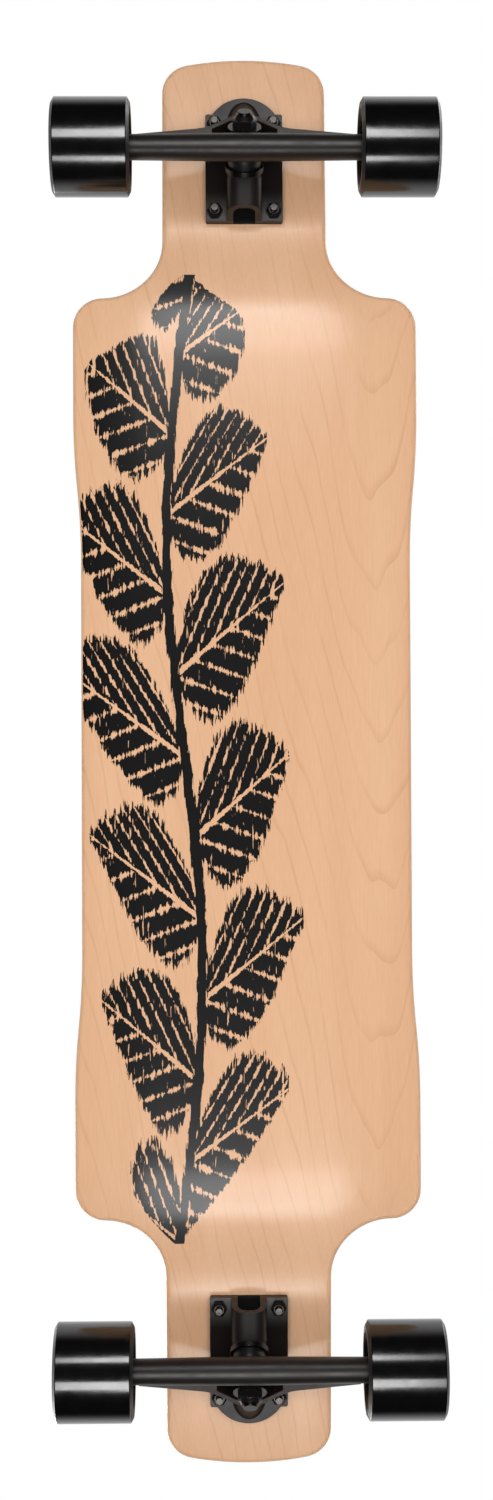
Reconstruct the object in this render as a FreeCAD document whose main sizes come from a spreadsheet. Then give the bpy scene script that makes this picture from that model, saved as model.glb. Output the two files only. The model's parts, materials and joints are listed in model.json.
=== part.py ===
import FreeCAD, Part
import math
import os
import re
import Sketcher
from FreeCAD import Placement, Rotation, Vector

# A longboard skateboard with a dropped deck and two reverse-kingpin trucks, in millimetres.
# It stands on its wheels at z = 0, the nose points to +Y and the left side is -X.

doc = FreeCAD.newDocument("Longboard")
dims = doc.addObject("Spreadsheet::Sheet", "Dims")

deck_sizes = [
    ("deck_length", 990, "nose tip to tail tip"),
    ("deck_width", 240, "across the shoulders"),
    ("waist_width", 229.5, "across the middle"),
    ("neck_width", 115, "across each truck platform"),
    ("deck_thickness", 11, "maple laminate"),
    ("tip_slope", 10, "degrees that the tip falls away before its corners"),
    ("tip_corner_radius", 21, "corners of nose and tail"),
    ("tip_flat", 2, "straight run between tip arc and corner"),
    ("shoulder_setback", 174, "tip to the shoulder line"),
    ("shoulder_radius", 20, "outer corner of a shoulder"),
    ("shoulder_flat", 1.5, "straight run between flare and shoulder corner"),
    ("rail_setback", 280, "tip to where the rail starts to narrow"),
    ("waist_setback", 335, "tip to where the rail is at its waist"),
    ("rail_ease", 0.45, "share of the narrowing run that each rail arc takes"),
    ("lane_width", 120, "flat lane between the concave rails"),
    ("concave_radius", 300, "arc of the rails"),
    ("drop_setback", 189.83, "tip to the lower bend"),
    ("drop_bend_radius", 200, "lower bend, underside"),
    ("rise_angle", 12.3, "degrees of the rise between the bends"),
    ("platform_setback", 133, "tip to the upper bend"),
    ("platform_bend_radius", 250, "upper bend, underside"),
    ("platform_tilt", 6, "degrees of the truck platform"),
    ("truck_setback", 82, "tip to the middle of the bolt pattern"),
    ("grip_thickness", 0.8, "grip tape"),
    ("trim_margin", 8, "stock left around the outline before it is cut"),
]
truck_sizes = [
    ("plate_width", 54, "baseplate flange, across"),
    ("plate_length", 78, "baseplate flange, along"),
    ("plate_thickness", 6, "baseplate flange with the pad over it"),
    ("plate_corner_radius", 1.5, "baseplate corners"),
    ("plate_nose_width", 44, "rounded nose of the baseplate"),
    ("plate_nose_reach", 11.8, "how far the nose stands out"),
    ("riser_thickness", 1.5, "rubber pad between the baseplate and the deck"),
    ("bolt_spread", 41.3, "bolt pattern, across"),
    ("bolt_span", 63.5, "bolt pattern, along"),
    ("screw_diameter", 4.8, "mounting screw"),
    ("screw_length", 25.4, "mounting screw, over all"),
    ("screw_head_diameter", 9.8, "countersunk head"),
    ("screw_head_height", 2.9, "countersunk head"),
    ("screw_socket_flats", 3.2, "hexagon socket"),
    ("screw_socket_depth", 2, "hexagon socket"),
    ("screw_clearance", 0.2, "radial clearance of the screw holes"),
    ("screw_seat_clearance", 0.05, "radial clearance of a head in its countersink"),
    ("screw_nut_flats", 9.5, "mounting nut"),
    ("screw_nut_hex", 3.2, "height of its hexagon"),
    ("screw_nut_collar", 1.3, "height of its locking collar"),
    ("kingpin_angle", 45, "degrees of the pivot axis over the baseplate"),
    ("pivot_offset", 3.2, "bolt middle to the centre of the kingpin ring"),
    ("pivot_depth", 34, "deck face to the centre of the kingpin ring"),
    ("boss_diameter", 24, "kingpin boss of the baseplate"),
    ("ridge_slope", 18, "degrees that the arch behind the boss falls to the inner end"),
    ("ridge_radius", 9, "rounded edges of the arch"),
    ("heel_height", 6, "straight inner end of the baseplate"),
    ("heel_angle", 78, "degrees of the slanted inner end"),
    ("mouth_width", 15.5, "opening of the arch at the inner end"),
    ("mouth_radius", 5.5, "rounded corners of the opening"),
    ("mouth_roof", 3, "wall of the arch over the opening"),
    ("head_seat", 8, "boss face to the seat of the kingpin head"),
    ("head_well_diameter", 18, "well for the kingpin head"),
    ("gusset_width", 16, "rib from boss to flange"),
    ("housing_diameter", 23.4, "pivot housing of the baseplate"),
    ("housing_face", 30, "kingpin ring centre to the face of the housing"),
    ("cup_wall", 1.3, "pivot cup"),
    ("cup_clearance", 0.15, "between pivot and cup"),
    ("cup_flange_diameter", 18, "pivot cup"),
    ("cup_flange", 0.8, "thickness of its flange"),
    ("stub_gap", 1.5, "bushing to the round root of the pivot"),
    ("pivot_start", 28, "kingpin ring centre to the root of the pivot"),
    ("pivot_end", 37, "kingpin ring centre to the tip of the pivot"),
    ("pivot_root_diameter", 12, "pivot of the hanger"),
    ("pivot_tip_diameter", 8.4, "pivot of the hanger"),
    ("pivot_tip_radius", 1.5, "rounded edge of its tip"),
    ("kingpin_diameter", 9.5, "kingpin"),
    ("kingpin_clearance", 0.1, "radial clearance of pieces on the kingpin"),
    ("kingpin_head_flats", 14.3, "hexagon head"),
    ("kingpin_head_height", 6, "hexagon head"),
    ("kingpin_nut_flats", 14.3, "kingpin nut"),
    ("kingpin_nut_hex", 6.5, "height of its hexagon"),
    ("kingpin_nut_collar", 2.5, "height of its locking collar"),
    ("kingpin_overhang", 2, "kingpin beyond its nut"),
    ("web_thickness", 5, "kingpin ring of the hanger"),
    ("ring_bore", 14, "hole of the kingpin ring"),
    ("bushing_diameter", 23, "both bushings"),
    ("bushing_tip_diameter", 18, "road end of the cone bushing"),
    ("board_bushing_height", 12, "barrel bushing on the deck side"),
    ("road_bushing_height", 10, "cone bushing on the road side"),
    ("washer_thickness", 2, "bushing washers"),
    ("cup_washer_diameter", 26.8, "cupped washer on the deck side"),
    ("cup_washer_rim", 1.5, "height of its rim"),
    ("cup_washer_wall", 1, "thickness of its rim"),
    ("road_washer_diameter", 23, "flat washer on the road side"),
]
hanger_sizes = [
    ("hanger_width", 182, "hanger bar, end to end"),
    ("bar_middle_diameter", 19, "hanger bar"),
    ("bar_end_diameter", 17, "hanger bar at its ends"),
    ("axle_offset", 26, "kingpin ring centre to axle, along the pivot axis"),
    ("axle_depth", 10.5, "kingpin ring centre to axle, along the kingpin"),
    ("yoke_depth", 10, "kingpin ring centre to the lower face of the yoke"),
    ("yoke_tip_width", 13, "yoke at the pivot"),
    ("yoke_width", 53, "yoke at its widest"),
    ("yoke_flank", 4.5, "ring centre to the widest part of the yoke"),
    ("yoke_back", 14, "ring centre back to where the yoke slopes to the bar"),
    ("wing_span", 150, "fairings from yoke to bar"),
    ("wing_radius", 22, "arc of the hollow between yoke and fairing"),
    ("wing_tip", 6.5, "ring centre back to the ends of the fairings"),
    ("wing_top", 4, "ring centre to the upper face of the fairings"),
    ("wing_bottom", 12, "ring centre to the lower face of the fairings"),
    ("pocket_wall", 4, "wall around the bushing pocket"),
    ("pocket_back", 13, "ring centre back to the rear wall of the pocket"),
    ("pocket_front", 18, "ring centre to the front of the pocket"),
    ("pocket_tip_width", 18, "front of the pocket"),
    ("axle_diameter", 7.94, "axle"),
    ("axle_overhang", 2.4, "axle beyond its nuts"),
    ("axle_nut_flats", 12.7, "axle nut"),
    ("axle_nut_hex", 4.6, "height of its hexagon"),
    ("axle_nut_collar", 2, "height of its locking collar"),
    ("nut_chamfer", 30, "degrees of the chamfer on every nut"),
    ("speed_washer_diameter", 12, "thin washers beside the bearings"),
    ("speed_washer_thickness", 1, "thin washers beside the bearings"),
]
wheel_sizes = [
    ("wheel_diameter", 66, "urethane tyre"),
    ("wheel_width", 53, "urethane tyre"),
    ("lip_height", 3.5, "bevelled lip, radially"),
    ("lip_width", 2, "bevelled lip, across"),
    ("lip_side_radius", 3, "edge of the lip on the side"),
    ("lip_tread_radius", 2.5, "edge of the lip on the tread"),
    ("side_ring_diameter", 53, "rim of the hollow in each side"),
    ("side_ring_radius", 1, "rounding of that rim"),
    ("hollow_depth", 12, "hollow in each side"),
    ("core_diameter", 39, "moulded wheel core"),
    ("core_width", 26, "moulded wheel core"),
    ("core_shoulder_diameter", 19, "bore between the bearings"),
    ("core_mouth_clearance", 0.5, "radial clearance of the mouths"),
    ("spacer_length", 10, "tube between the bearings"),
    ("spacer_diameter", 10.5, "tube between the bearings"),
    ("bearing_diameter", 22, "ball bearing"),
    ("bearing_bore", 8, "ball bearing"),
    ("bearing_width", 7, "ball bearing"),
    ("outer_land_diameter", 18, "bore of the outer ring"),
    ("inner_land_diameter", 12.1, "outside of the inner ring"),
    ("ball_diameter", 3.969, "bearing ball"),
    ("ball_pitch_diameter", 15, "circle through the balls"),
    ("ball_count", 7, "balls in a bearing"),
    ("groove_clearance", 0.045, "between ball and groove"),
    ("cage_clearance", 0.115, "between ball and cage"),
    ("cage_wall", 1.2, "crown cage, radially"),
    ("cage_root", 1, "crown cage below the middle of the balls"),
    ("cage_top", 2.5, "crown cage above the middle of the balls"),
    ("shield_seat_diameter", 19.2, "recess for the shields"),
    ("shield_seat_depth", 0.8, "recess for the shields"),
    ("shield_thickness", 0.35, "shield"),
    ("shield_clearance", 0.25, "between shield and inner ring"),
]
sizes = deck_sizes + truck_sizes + hanger_sizes + wheel_sizes

for row, (alias, size, note) in enumerate(sizes, start=1):
    dims.set(f"A{row}", alias)
    dims.set(f"B{row}", str(size))
    dims.set(f"C{row}", note)
    dims.setAlias(f"B{row}", alias)
doc.recompute()

alias_words = re.compile(r"\b(" + "|".join(alias for alias, size, note in sizes) + r")\b")


# Expressions over the sheet

def cell(text):
    return alias_words.sub(r"Dims.\1", text)


def num(text):
    return float(dims.evalExpression(cell(text)))


def bind(feature, **expressions):
    for name, text in expressions.items():
        feature.setExpression(name, cell(text))


def spot(x="0", y="0", z="0", axis="1; 0; 0", angle="0"):
    return f"placement(vector({x}; {y}; {z}); rotation(vector({axis}); {angle}))"


# Bodies, outlines and turned pieces

def new_body(label):
    body = doc.addObject("PartDesign::Body", "Body")
    body.Label = label
    return body


def origin_feature(body, role):
    return next(feature for feature in body.Origin.OriginFeatures if feature.Role == role)


def new_sketch(body, role, place=None):
    sketch = body.newObject("Sketcher::SketchObject", "Sketch")
    sketch.AttachmentSupport = [(origin_feature(body, role), "")]
    sketch.MapMode = "FlatFace"
    if place:
        bind(sketch, AttachmentOffset=place)
    return sketch


# The two distances from the origin that hold a point, each with its expression.
def point_limits(geometry, position, corner):
    limits = []
    for kind, text in zip(("DistanceX", "DistanceY"), corner):
        limits.append((Sketcher.Constraint(kind, -1, 1, geometry, position, num(text)), text))
    return limits


def add_limits(sketch, limits):
    indices = sketch.addConstraint([limit for limit, text in limits])
    for index, (limit, text) in zip(indices, limits):
        if text:
            sketch.setExpression(f"Constraints[{index}]", cell(text))


# Where the arc of a rounded corner starts and ends, its centre, and whether it turns left.
def round_corner(before, point, after, radius):
    back = (before - point).normalize()
    ahead = (after - point).normalize()
    half = back.getAngle(ahead) / 2
    entry = point + back * (radius / math.tan(half))
    leave = point + ahead * (radius / math.tan(half))
    centre = point + (back + ahead).normalize() * (radius / math.sin(half))
    return entry, leave, centre, ahead.cross(back).z > 0


def arc_between(first, last, centre, radius):
    start = math.atan2(first.y - centre.y, first.x - centre.x)
    end = math.atan2(last.y - centre.y, last.x - centre.x)
    return Part.ArcOfCircle(Part.Circle(centre, Vector(0, 0, 1), radius), start, end)


# A closed loop of straight sides. A corner is (x, y) or, when rounded, (x, y, radius).
def add_loop(sketch, corners):
    count = len(corners)
    points = [Vector(num(corner[0]), num(corner[1]), 0) for corner in corners]
    bends = []
    for index, corner in enumerate(corners):
        radius = num(corner[2]) if len(corner) > 2 else 0
        after = points[(index + 1) % count]
        bends.append(round_corner(points[index - 1], points[index], after, radius))
    sides = []
    for index in range(count):
        leave = bends[index][1]
        entry = bends[(index + 1) % count][0]
        sides.append(sketch.addGeometry(Part.LineSegment(leave, entry)))
    limits = []
    for index, corner in enumerate(corners):
        before = sides[index - 1]
        after = sides[index]
        if len(corner) == 2:
            limits.append((Sketcher.Constraint("Coincident", before, 2, after, 1), None))
            limits += point_limits(after, 1, corner)
            continue
        entry, leave, centre, turns_left = bends[index]
        ends = (entry, leave) if turns_left else (leave, entry)
        first, last = (1, 2) if turns_left else (2, 1)
        arc = sketch.addGeometry(arc_between(*ends, centre, num(corner[2])))
        mark = sketch.addGeometry(Part.Point(points[index]), True)
        limits += [
            (Sketcher.Constraint("Tangent", before, 2, arc, first), None),
            (Sketcher.Constraint("Tangent", after, 1, arc, last), None),
            (Sketcher.Constraint("PointOnObject", mark, 1, before), None),
            (Sketcher.Constraint("PointOnObject", mark, 1, after), None),
            (Sketcher.Constraint("Radius", arc, num(corner[2])), corner[2]),
        ]
        limits += point_limits(mark, 1, corner)
    add_limits(sketch, limits)


def outline(body, role, corners, place=None):
    sketch = new_sketch(body, role, place)
    add_loop(sketch, corners)
    return sketch


def both_sides(corners):
    mirrored = [("-(" + corner[0] + ")",) + tuple(corner[1:]) for corner in reversed(corners)]
    return list(corners) + mirrored


def pad(body, sketch, length, reverse=False, symmetric=False):
    feature = body.newObject("PartDesign::Pad", "Pad")
    feature.Profile = (sketch, [""])
    feature.Reversed = reverse
    feature.SideType = "Symmetric" if symmetric else "One side"
    bind(feature, Length=length)


def pocket(body, sketch, reverse=False, symmetric=False):
    feature = body.newObject("PartDesign::Pocket", "Pocket")
    feature.Profile = (sketch, [""])
    feature.Type = "ThroughAll"
    feature.Reversed = reverse
    feature.SideType = "Symmetric" if symmetric else "One side"


def revolve(body, sketch, axis, kind="Revolution"):
    feature = body.newObject("PartDesign::" + kind, kind)
    feature.Profile = (sketch, [""])
    feature.ReferenceAxis = (sketch, [axis])
    feature.Angle = 360


def primitive(body, kind, place=None, **expressions):
    feature = body.newObject("PartDesign::" + kind, kind)
    bind(feature, **expressions)
    if place:
        bind(feature, Placement=place)
    return feature


# Corners are (radius, height) around the body's own z axis.
def turned(label, corners):
    body = new_body(label)
    revolve(body, outline(body, "XZ_Plane", corners), "V_Axis")
    return body


def tube(label, outer, inner, low, high):
    return turned(label, [(inner, low), (outer, low), (outer, high), (inner, high)])


# Deck and grip tape. Their own z = 0 is the underside of the flat lane.

tip_radius = ("((neck_width / 2 - tip_flat - tip_corner_radius * tan(45 - tip_slope / 2)"
              " * cos(tip_slope)) / sin(tip_slope))")
tip_apex = f"(deck_length / 2 + {tip_radius} * (1 / cos(tip_slope) - 1))"
tip_corner = f"({tip_apex} - neck_width / 2 * tan(tip_slope))"
flare_radius = "((deck_width - neck_width) / 2 - shoulder_radius - shoulder_flat)"
shoulder_line = "(deck_length / 2 - shoulder_setback)"
rail_inset = "((deck_width - waist_width) / 2)"
rail_run = "(waist_setback - rail_setback)"
rail_radius = (f"(rail_ease * sqrt({rail_inset}^2 + {rail_run}^2)"
               f" / tan(atan({rail_inset} / {rail_run}) / 2))")
platform_rise = "((drop_setback - platform_setback) * tan(rise_angle))"
truck_station = "(deck_length / 2 - truck_setback)"
truck_rise = f"({platform_rise} + (platform_setback - truck_setback) * tan(platform_tilt))"
truck_on_deck = spot(y=truck_station, z=truck_rise, angle="platform_tilt")


def deck_outline():
    quarter = [
        ("neck_width / 2", tip_corner, "tip_corner_radius"),
        ("neck_width / 2", shoulder_line, flare_radius),
        ("deck_width / 2", shoulder_line, "shoulder_radius"),
        ("deck_width / 2", "deck_length / 2 - rail_setback", rail_radius),
        ("waist_width / 2", "deck_length / 2 - waist_setback", rail_radius),
    ]
    right_rear = [(x, f"-({y})", radius) for x, y, radius in reversed(quarter)]
    right = quarter + right_rear
    left = [(f"-({x})", y, radius) for x, y, radius in reversed(right)]
    nose = ("0", tip_apex, tip_radius)
    tail = ("0", f"-{tip_apex}", tip_radius)
    return [nose] + right + [tail] + left


# The side view of one half of the sheet's face that lies a given height above its underside.
def side_line(height):
    lean = "((rise_angle + platform_tilt) / 2)"
    half_bend = "((rise_angle - platform_tilt) / 2)"
    end_run = "(platform_setback + trim_margin)"
    lower_bend = (f"deck_length / 2 - drop_setback - {height} * tan(rise_angle / 2)",
                  height,
                  f"drop_bend_radius - {height}")
    upper_bend = (f"deck_length / 2 - platform_setback - {height} * sin({lean}) / cos({half_bend})",
                  f"{platform_rise} + {height} * cos({lean}) / cos({half_bend})",
                  f"platform_bend_radius + {height}")
    end = ("deck_length / 2 + trim_margin",
           f"{platform_rise} + {end_run} * tan(platform_tilt) + {height} / cos(platform_tilt)")
    return [lower_bend, upper_bend, end]


# A sheet bent in side view, swept along the concave and cut to the deck's outline.
def deck_sheet(label, low, high):
    body = new_body(label)
    section = side_line(low) + list(reversed(side_line(high)))
    profile = outline(body, "YZ_Plane", both_sides(section))

    spine = new_sketch(body, "XZ_Plane")
    lane = num("lane_width / 2")
    bend = num("concave_radius")
    sweep = math.asin(num("((deck_width - lane_width) / 2 + trim_margin) / concave_radius"))
    circle = Part.Circle(Vector(lane, bend, 0), Vector(0, 0, 1), bend)
    flat = spine.addGeometry(Part.LineSegment(Vector(0, 0, 0), Vector(lane, 0, 0)))
    rail = spine.addGeometry(Part.ArcOfCircle(circle, -math.pi / 2, sweep - math.pi / 2))
    reach = "deck_width / 2 + trim_margin"
    add_limits(spine, [
        (Sketcher.Constraint("Coincident", flat, 1, -1, 1), None),
        (Sketcher.Constraint("Horizontal", flat), None),
        (Sketcher.Constraint("Tangent", flat, 2, rail, 1), None),
        (Sketcher.Constraint("DistanceX", flat, 1, flat, 2, lane), "lane_width / 2"),
        (Sketcher.Constraint("Radius", rail, bend), "concave_radius"),
        (Sketcher.Constraint("DistanceX", -1, 1, rail, 2, num(reach)), reach),
    ])

    half = body.newObject("PartDesign::AdditivePipe", "Half")
    half.Profile = (profile, [""])
    half.Spine = (spine, [""])
    half.Mode = "Fixed"
    whole = body.newObject("PartDesign::Mirrored", "Whole")
    whole.Originals = [half]
    whole.MirrorPlane = (origin_feature(body, "YZ_Plane"), [""])
    body.Tip = whole

    around = "deck_width / 2 + 2 * trim_margin"
    beyond = "deck_length / 2 + 2 * trim_margin"
    frame = [(around, f"-({beyond})"), (around, beyond)]
    trim = new_sketch(body, "XY_Plane")
    add_loop(trim, both_sides(frame))
    add_loop(trim, deck_outline())
    pocket(body, trim, symmetric=True)
    return body


bolt_corners = [(across, along) for across in (1, -1) for along in (1, -1)]


# Round cuts square to the truck platform at every bolt of nose and tail.
def bolt_cuts(body, *cuts):
    for about in ("0", "180"):
        platform = f"{spot(axis='0; 0; 1', angle=about)} * {truck_on_deck}"
        for across, along in bolt_corners:
            for kind, height, expressions in cuts:
                bolt = spot(x=f"{across} * bolt_spread / 2", y=f"{along} * bolt_span / 2", z=height)
                primitive(body, kind, f"{platform} * {bolt}", **expressions)


screw_hole = "screw_diameter / 2 + screw_clearance"

deck = deck_sheet("Deck", "0", "deck_thickness")
bolt_cuts(
    deck,
    ("SubtractiveCylinder", "-deck_thickness",
     {"Radius": screw_hole, "Height": "3 * deck_thickness"}),
    ("SubtractiveCone", "deck_thickness - screw_head_height",
     {"Radius1": "screw_diameter / 2 + screw_seat_clearance",
      "Radius2": "screw_head_diameter / 2 + screw_seat_clearance",
      "Height": "screw_head_height"}),
)

grip_tape = deck_sheet("Grip tape", "deck_thickness", "(deck_thickness + grip_thickness)")
bolt_cuts(
    grip_tape,
    ("SubtractiveCylinder", "0",
     {"Radius": "screw_head_diameter / 2 + screw_clearance", "Height": "3 * deck_thickness"}),
)


# Fasteners. A nut hangs below its seat at z = 0.

def hexagon(body, kind, flats, height, low):
    feature = primitive(body, kind, spot(z=low), Height=height,
                        Circumradius=f"{flats} / 2 / cos(180 / 6)")
    feature.Polygon = 6


def lock_nut(label, flats, hex_height, collar_height, bore):
    body = new_body(label)
    hexagon(body, "AdditivePrism", flats, hex_height, f"-({hex_height})")
    chamfer = [
        (f"{flats} / 2", f"-({hex_height})"),
        (flats, f"-({hex_height})"),
        (flats, f"{flats} / 2 * tan(nut_chamfer) - ({hex_height})"),
    ]
    revolve(body, outline(body, "XZ_Plane", chamfer), "V_Axis", "Groove")
    full = f"{hex_height} + {collar_height}"
    primitive(body, "AdditiveCone", spot(z=f"-({full})"), Height=collar_height,
              Radius1=f"({flats} + {bore}) / 4", Radius2=f"{flats} / 2")
    primitive(body, "SubtractiveCylinder", spot(z=f"-({full})"), Height=full, Radius=f"{bore} / 2")
    return body


screw_top = "deck_thickness"
mounting_screw = turned("Mounting screw", [
    ("0", f"{screw_top} - screw_length"),
    ("screw_diameter / 2", f"{screw_top} - screw_length"),
    ("screw_diameter / 2", f"{screw_top} - screw_head_height"),
    ("screw_head_diameter / 2", screw_top),
    ("0", screw_top),
])
hexagon(mounting_screw, "SubtractivePrism", "screw_socket_flats", "screw_socket_depth",
        f"{screw_top} - screw_socket_depth")
mounting_nut = lock_nut("Mounting nut", "screw_nut_flats", "screw_nut_hex", "screw_nut_collar",
                        "screw_diameter")
kingpin_nut = lock_nut("Kingpin nut", "kingpin_nut_flats", "kingpin_nut_hex",
                       "kingpin_nut_collar", "kingpin_diameter")
axle_nut = lock_nut("Axle nut", "axle_nut_flats", "axle_nut_hex", "axle_nut_collar",
                    "axle_diameter")

# Truck. The baseplate's frame has its origin on the deck face, in the middle of the bolts.
# The steering frame sits at the kingpin ring: y along the pivot axis, z up along the kingpin.

web_half = "(web_thickness / 2)"
board_washer_face = f"({web_half} + board_bushing_height)"
boss_face = f"({board_washer_face} + washer_thickness)"
head_face = f"({boss_face} + head_seat)"
road_washer_face = f"(-{web_half} - road_bushing_height)"
nut_face = f"({road_washer_face} - washer_thickness)"
kingpin_end = f"({nut_face} - kingpin_nut_hex - kingpin_nut_collar - kingpin_overhang)"
steering = spot(y="pivot_offset", z="-pivot_depth", angle="kingpin_angle")
along_pivot = spot(axis="1; 0; 0", angle="-90")
across_truck = spot(axis="0; 1; 0", angle="90")
kingpin_hole = "kingpin_diameter / 2 + kingpin_clearance"

# Radius of the pivot's cone at a distance along the pivot axis.
pivot_taper = "((pivot_root_diameter - pivot_tip_diameter) / 2 / (pivot_end - pivot_start))"


def pivot_cone(distance):
    return f"(pivot_root_diameter / 2 - ({distance} - pivot_start) * {pivot_taper})"


cup_mouth = "(housing_face - cup_flange)"
cup_inner_end = "(pivot_end + cup_clearance)"
cup_outer_end = f"({cup_inner_end} + cup_wall)"
cup_skin = "(cup_clearance + cup_wall)"


plate_end = "plate_length / 2"


# A flange with a rounded nose, from the deck face down.
def add_flange(body, thickness):
    side = "plate_width / 2"
    flange = both_sides([(side, f"-{plate_end}", "plate_corner_radius"),
                         (side, plate_end, "plate_corner_radius")])
    pad(body, outline(body, "XY_Plane", flange), thickness, reverse=True)

    nose_radius = "((plate_nose_width^2 / 4 + plate_nose_reach^2) / (2 * plate_nose_reach))"
    nose = spot(y=f"{plate_end} + plate_nose_reach - {nose_radius}", z=f"-{thickness}")
    primitive(body, "AdditiveCylinder", nose, Radius=nose_radius, Height=thickness)


def drill_bolts(body):
    for across, along in bolt_corners:
        bolt = spot(x=f"{across} * bolt_spread / 2", y=f"{along} * bolt_span / 2",
                    z="-2 * plate_thickness")
        primitive(body, "SubtractiveCylinder", bolt, Radius=screw_hole,
                  Height="3 * plate_thickness")


def make_baseplate():
    body = new_body("Baseplate")
    add_flange(body, "plate_thickness")

    slant_reach = "(2 * pivot_depth)"
    boss = f"{steering} * {spot(z=boss_face)}"
    primitive(body, "AdditiveCylinder", boss, Radius="boss_diameter / 2", Height=slant_reach)
    housing = f"{steering} * {spot(y='housing_face')} * {along_pivot}"
    primitive(body, "AdditiveCylinder", housing, Radius="housing_diameter / 2",
              Height=slant_reach)

    foot_y = f"(pivot_offset - {boss_face} * sin(kingpin_angle))"
    foot_z = f"({boss_face} * cos(kingpin_angle) - pivot_depth)"
    inside = "(-plate_thickness / 2)"
    gusset = [
        (foot_y, foot_z),
        (f"{foot_y} + ({inside} - {foot_z}) / tan(kingpin_angle)", inside),
        (foot_y, inside),
    ]
    pad(body, outline(body, "YZ_Plane", gusset), "gusset_width", symmetric=True)

    # An arch runs from the edge of the boss face to the inner end, over the well of the kingpin head.
    ridge_y = f"({foot_y} - boss_diameter / 2 * cos(kingpin_angle))"
    ridge_z = f"({foot_z} - boss_diameter / 2 * sin(kingpin_angle))"
    ridge = spot(y=ridge_z, z=f"-{ridge_y}", angle="-ridge_slope")
    arch = both_sides([("boss_diameter / 2", slant_reach),
                       ("boss_diameter / 2", "0", "ridge_radius")])
    pad(body, outline(body, "XZ_Plane", arch, ridge), "plate_length")

    around = "2 * plate_length"
    deck_face = both_sides([(around, f"-{around}"), (around, around)])
    pad_face = spot(z="-riser_thickness")
    pocket(body, outline(body, "XY_Plane", deck_face, pad_face), reverse=True)

    heel = [
        (f"-{plate_end}", "plate_thickness"),
        (f"-{around}", "plate_thickness"),
        (f"-{around}", "-heel_height - pivot_depth"),
        (f"pivot_depth / tan(heel_angle) - {plate_end}", "-heel_height - pivot_depth"),
        (f"-{plate_end}", "-heel_height"),
    ]
    pocket(body, outline(body, "YZ_Plane", heel), symmetric=True)

    mouth = both_sides([("mouth_width / 2", slant_reach),
                        ("mouth_width / 2", "mouth_roof", "mouth_radius")])
    mouth_start = spot(z="head_seat / cos(kingpin_angle - ridge_slope)")
    pocket(body, outline(body, "XZ_Plane", mouth, f"{ridge} * {mouth_start}"), reverse=True)

    primitive(body, "SubtractiveCylinder", boss, Radius=kingpin_hole, Height=slant_reach)
    well = f"{steering} * {spot(z=head_face)}"
    primitive(body, "SubtractiveCylinder", well, Radius="head_well_diameter / 2",
              Height=slant_reach)
    primitive(body, "SubtractiveCone", housing, Height=f"{cup_outer_end} - housing_face",
              Radius1=f"{pivot_cone('housing_face')} + {cup_skin}",
              Radius2=f"{pivot_cone(cup_outer_end)} + {cup_skin}")
    drill_bolts(body)
    return body


baseplate = make_baseplate()

# The pad lies between the baseplate and the deck and closes the well of the kingpin head.
riser_pad = new_body("Riser pad")
add_flange(riser_pad, "riser_thickness")
drill_bolts(riser_pad)

# The cup is turned about the pivot axis, with its height measured from the kingpin ring.
pivot_cup = turned("Pivot cup", [
    ("0", cup_outer_end),
    ("0", cup_inner_end),
    (f"{pivot_cone(cup_inner_end)} + cup_clearance", cup_inner_end),
    (f"{pivot_cone(cup_mouth)} + cup_clearance", cup_mouth),
    ("cup_flange_diameter / 2", cup_mouth),
    ("cup_flange_diameter / 2", "housing_face"),
    (f"{pivot_cone('housing_face')} + {cup_skin}", "housing_face"),
    (f"{pivot_cone(cup_outer_end)} + {cup_skin}", cup_outer_end),
])

kingpin = turned("Kingpin", [
    ("0", kingpin_end),
    ("kingpin_diameter / 2", kingpin_end),
    ("kingpin_diameter / 2", head_face),
    ("0", head_face),
])
hexagon(kingpin, "AdditivePrism", "kingpin_head_flats", "kingpin_head_height", head_face)

board_washer = turned("Boardside washer", [
    (kingpin_hole, board_washer_face),
    ("cup_washer_diameter / 2 - cup_washer_wall", board_washer_face),
    ("cup_washer_diameter / 2 - cup_washer_wall", f"{board_washer_face} - cup_washer_rim"),
    ("cup_washer_diameter / 2", f"{board_washer_face} - cup_washer_rim"),
    ("cup_washer_diameter / 2", boss_face),
    (kingpin_hole, boss_face),
])
board_bushing = tube("Boardside bushing", "bushing_diameter / 2", kingpin_hole,
                     web_half, board_washer_face)
road_bushing = turned("Roadside bushing", [
    (kingpin_hole, road_washer_face),
    ("bushing_tip_diameter / 2", road_washer_face),
    ("bushing_diameter / 2", f"-{web_half}"),
    (kingpin_hole, f"-{web_half}"),
])
road_washer = tube("Roadside washer", "road_washer_diameter / 2", kingpin_hole,
                   nut_face, road_washer_face)


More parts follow.
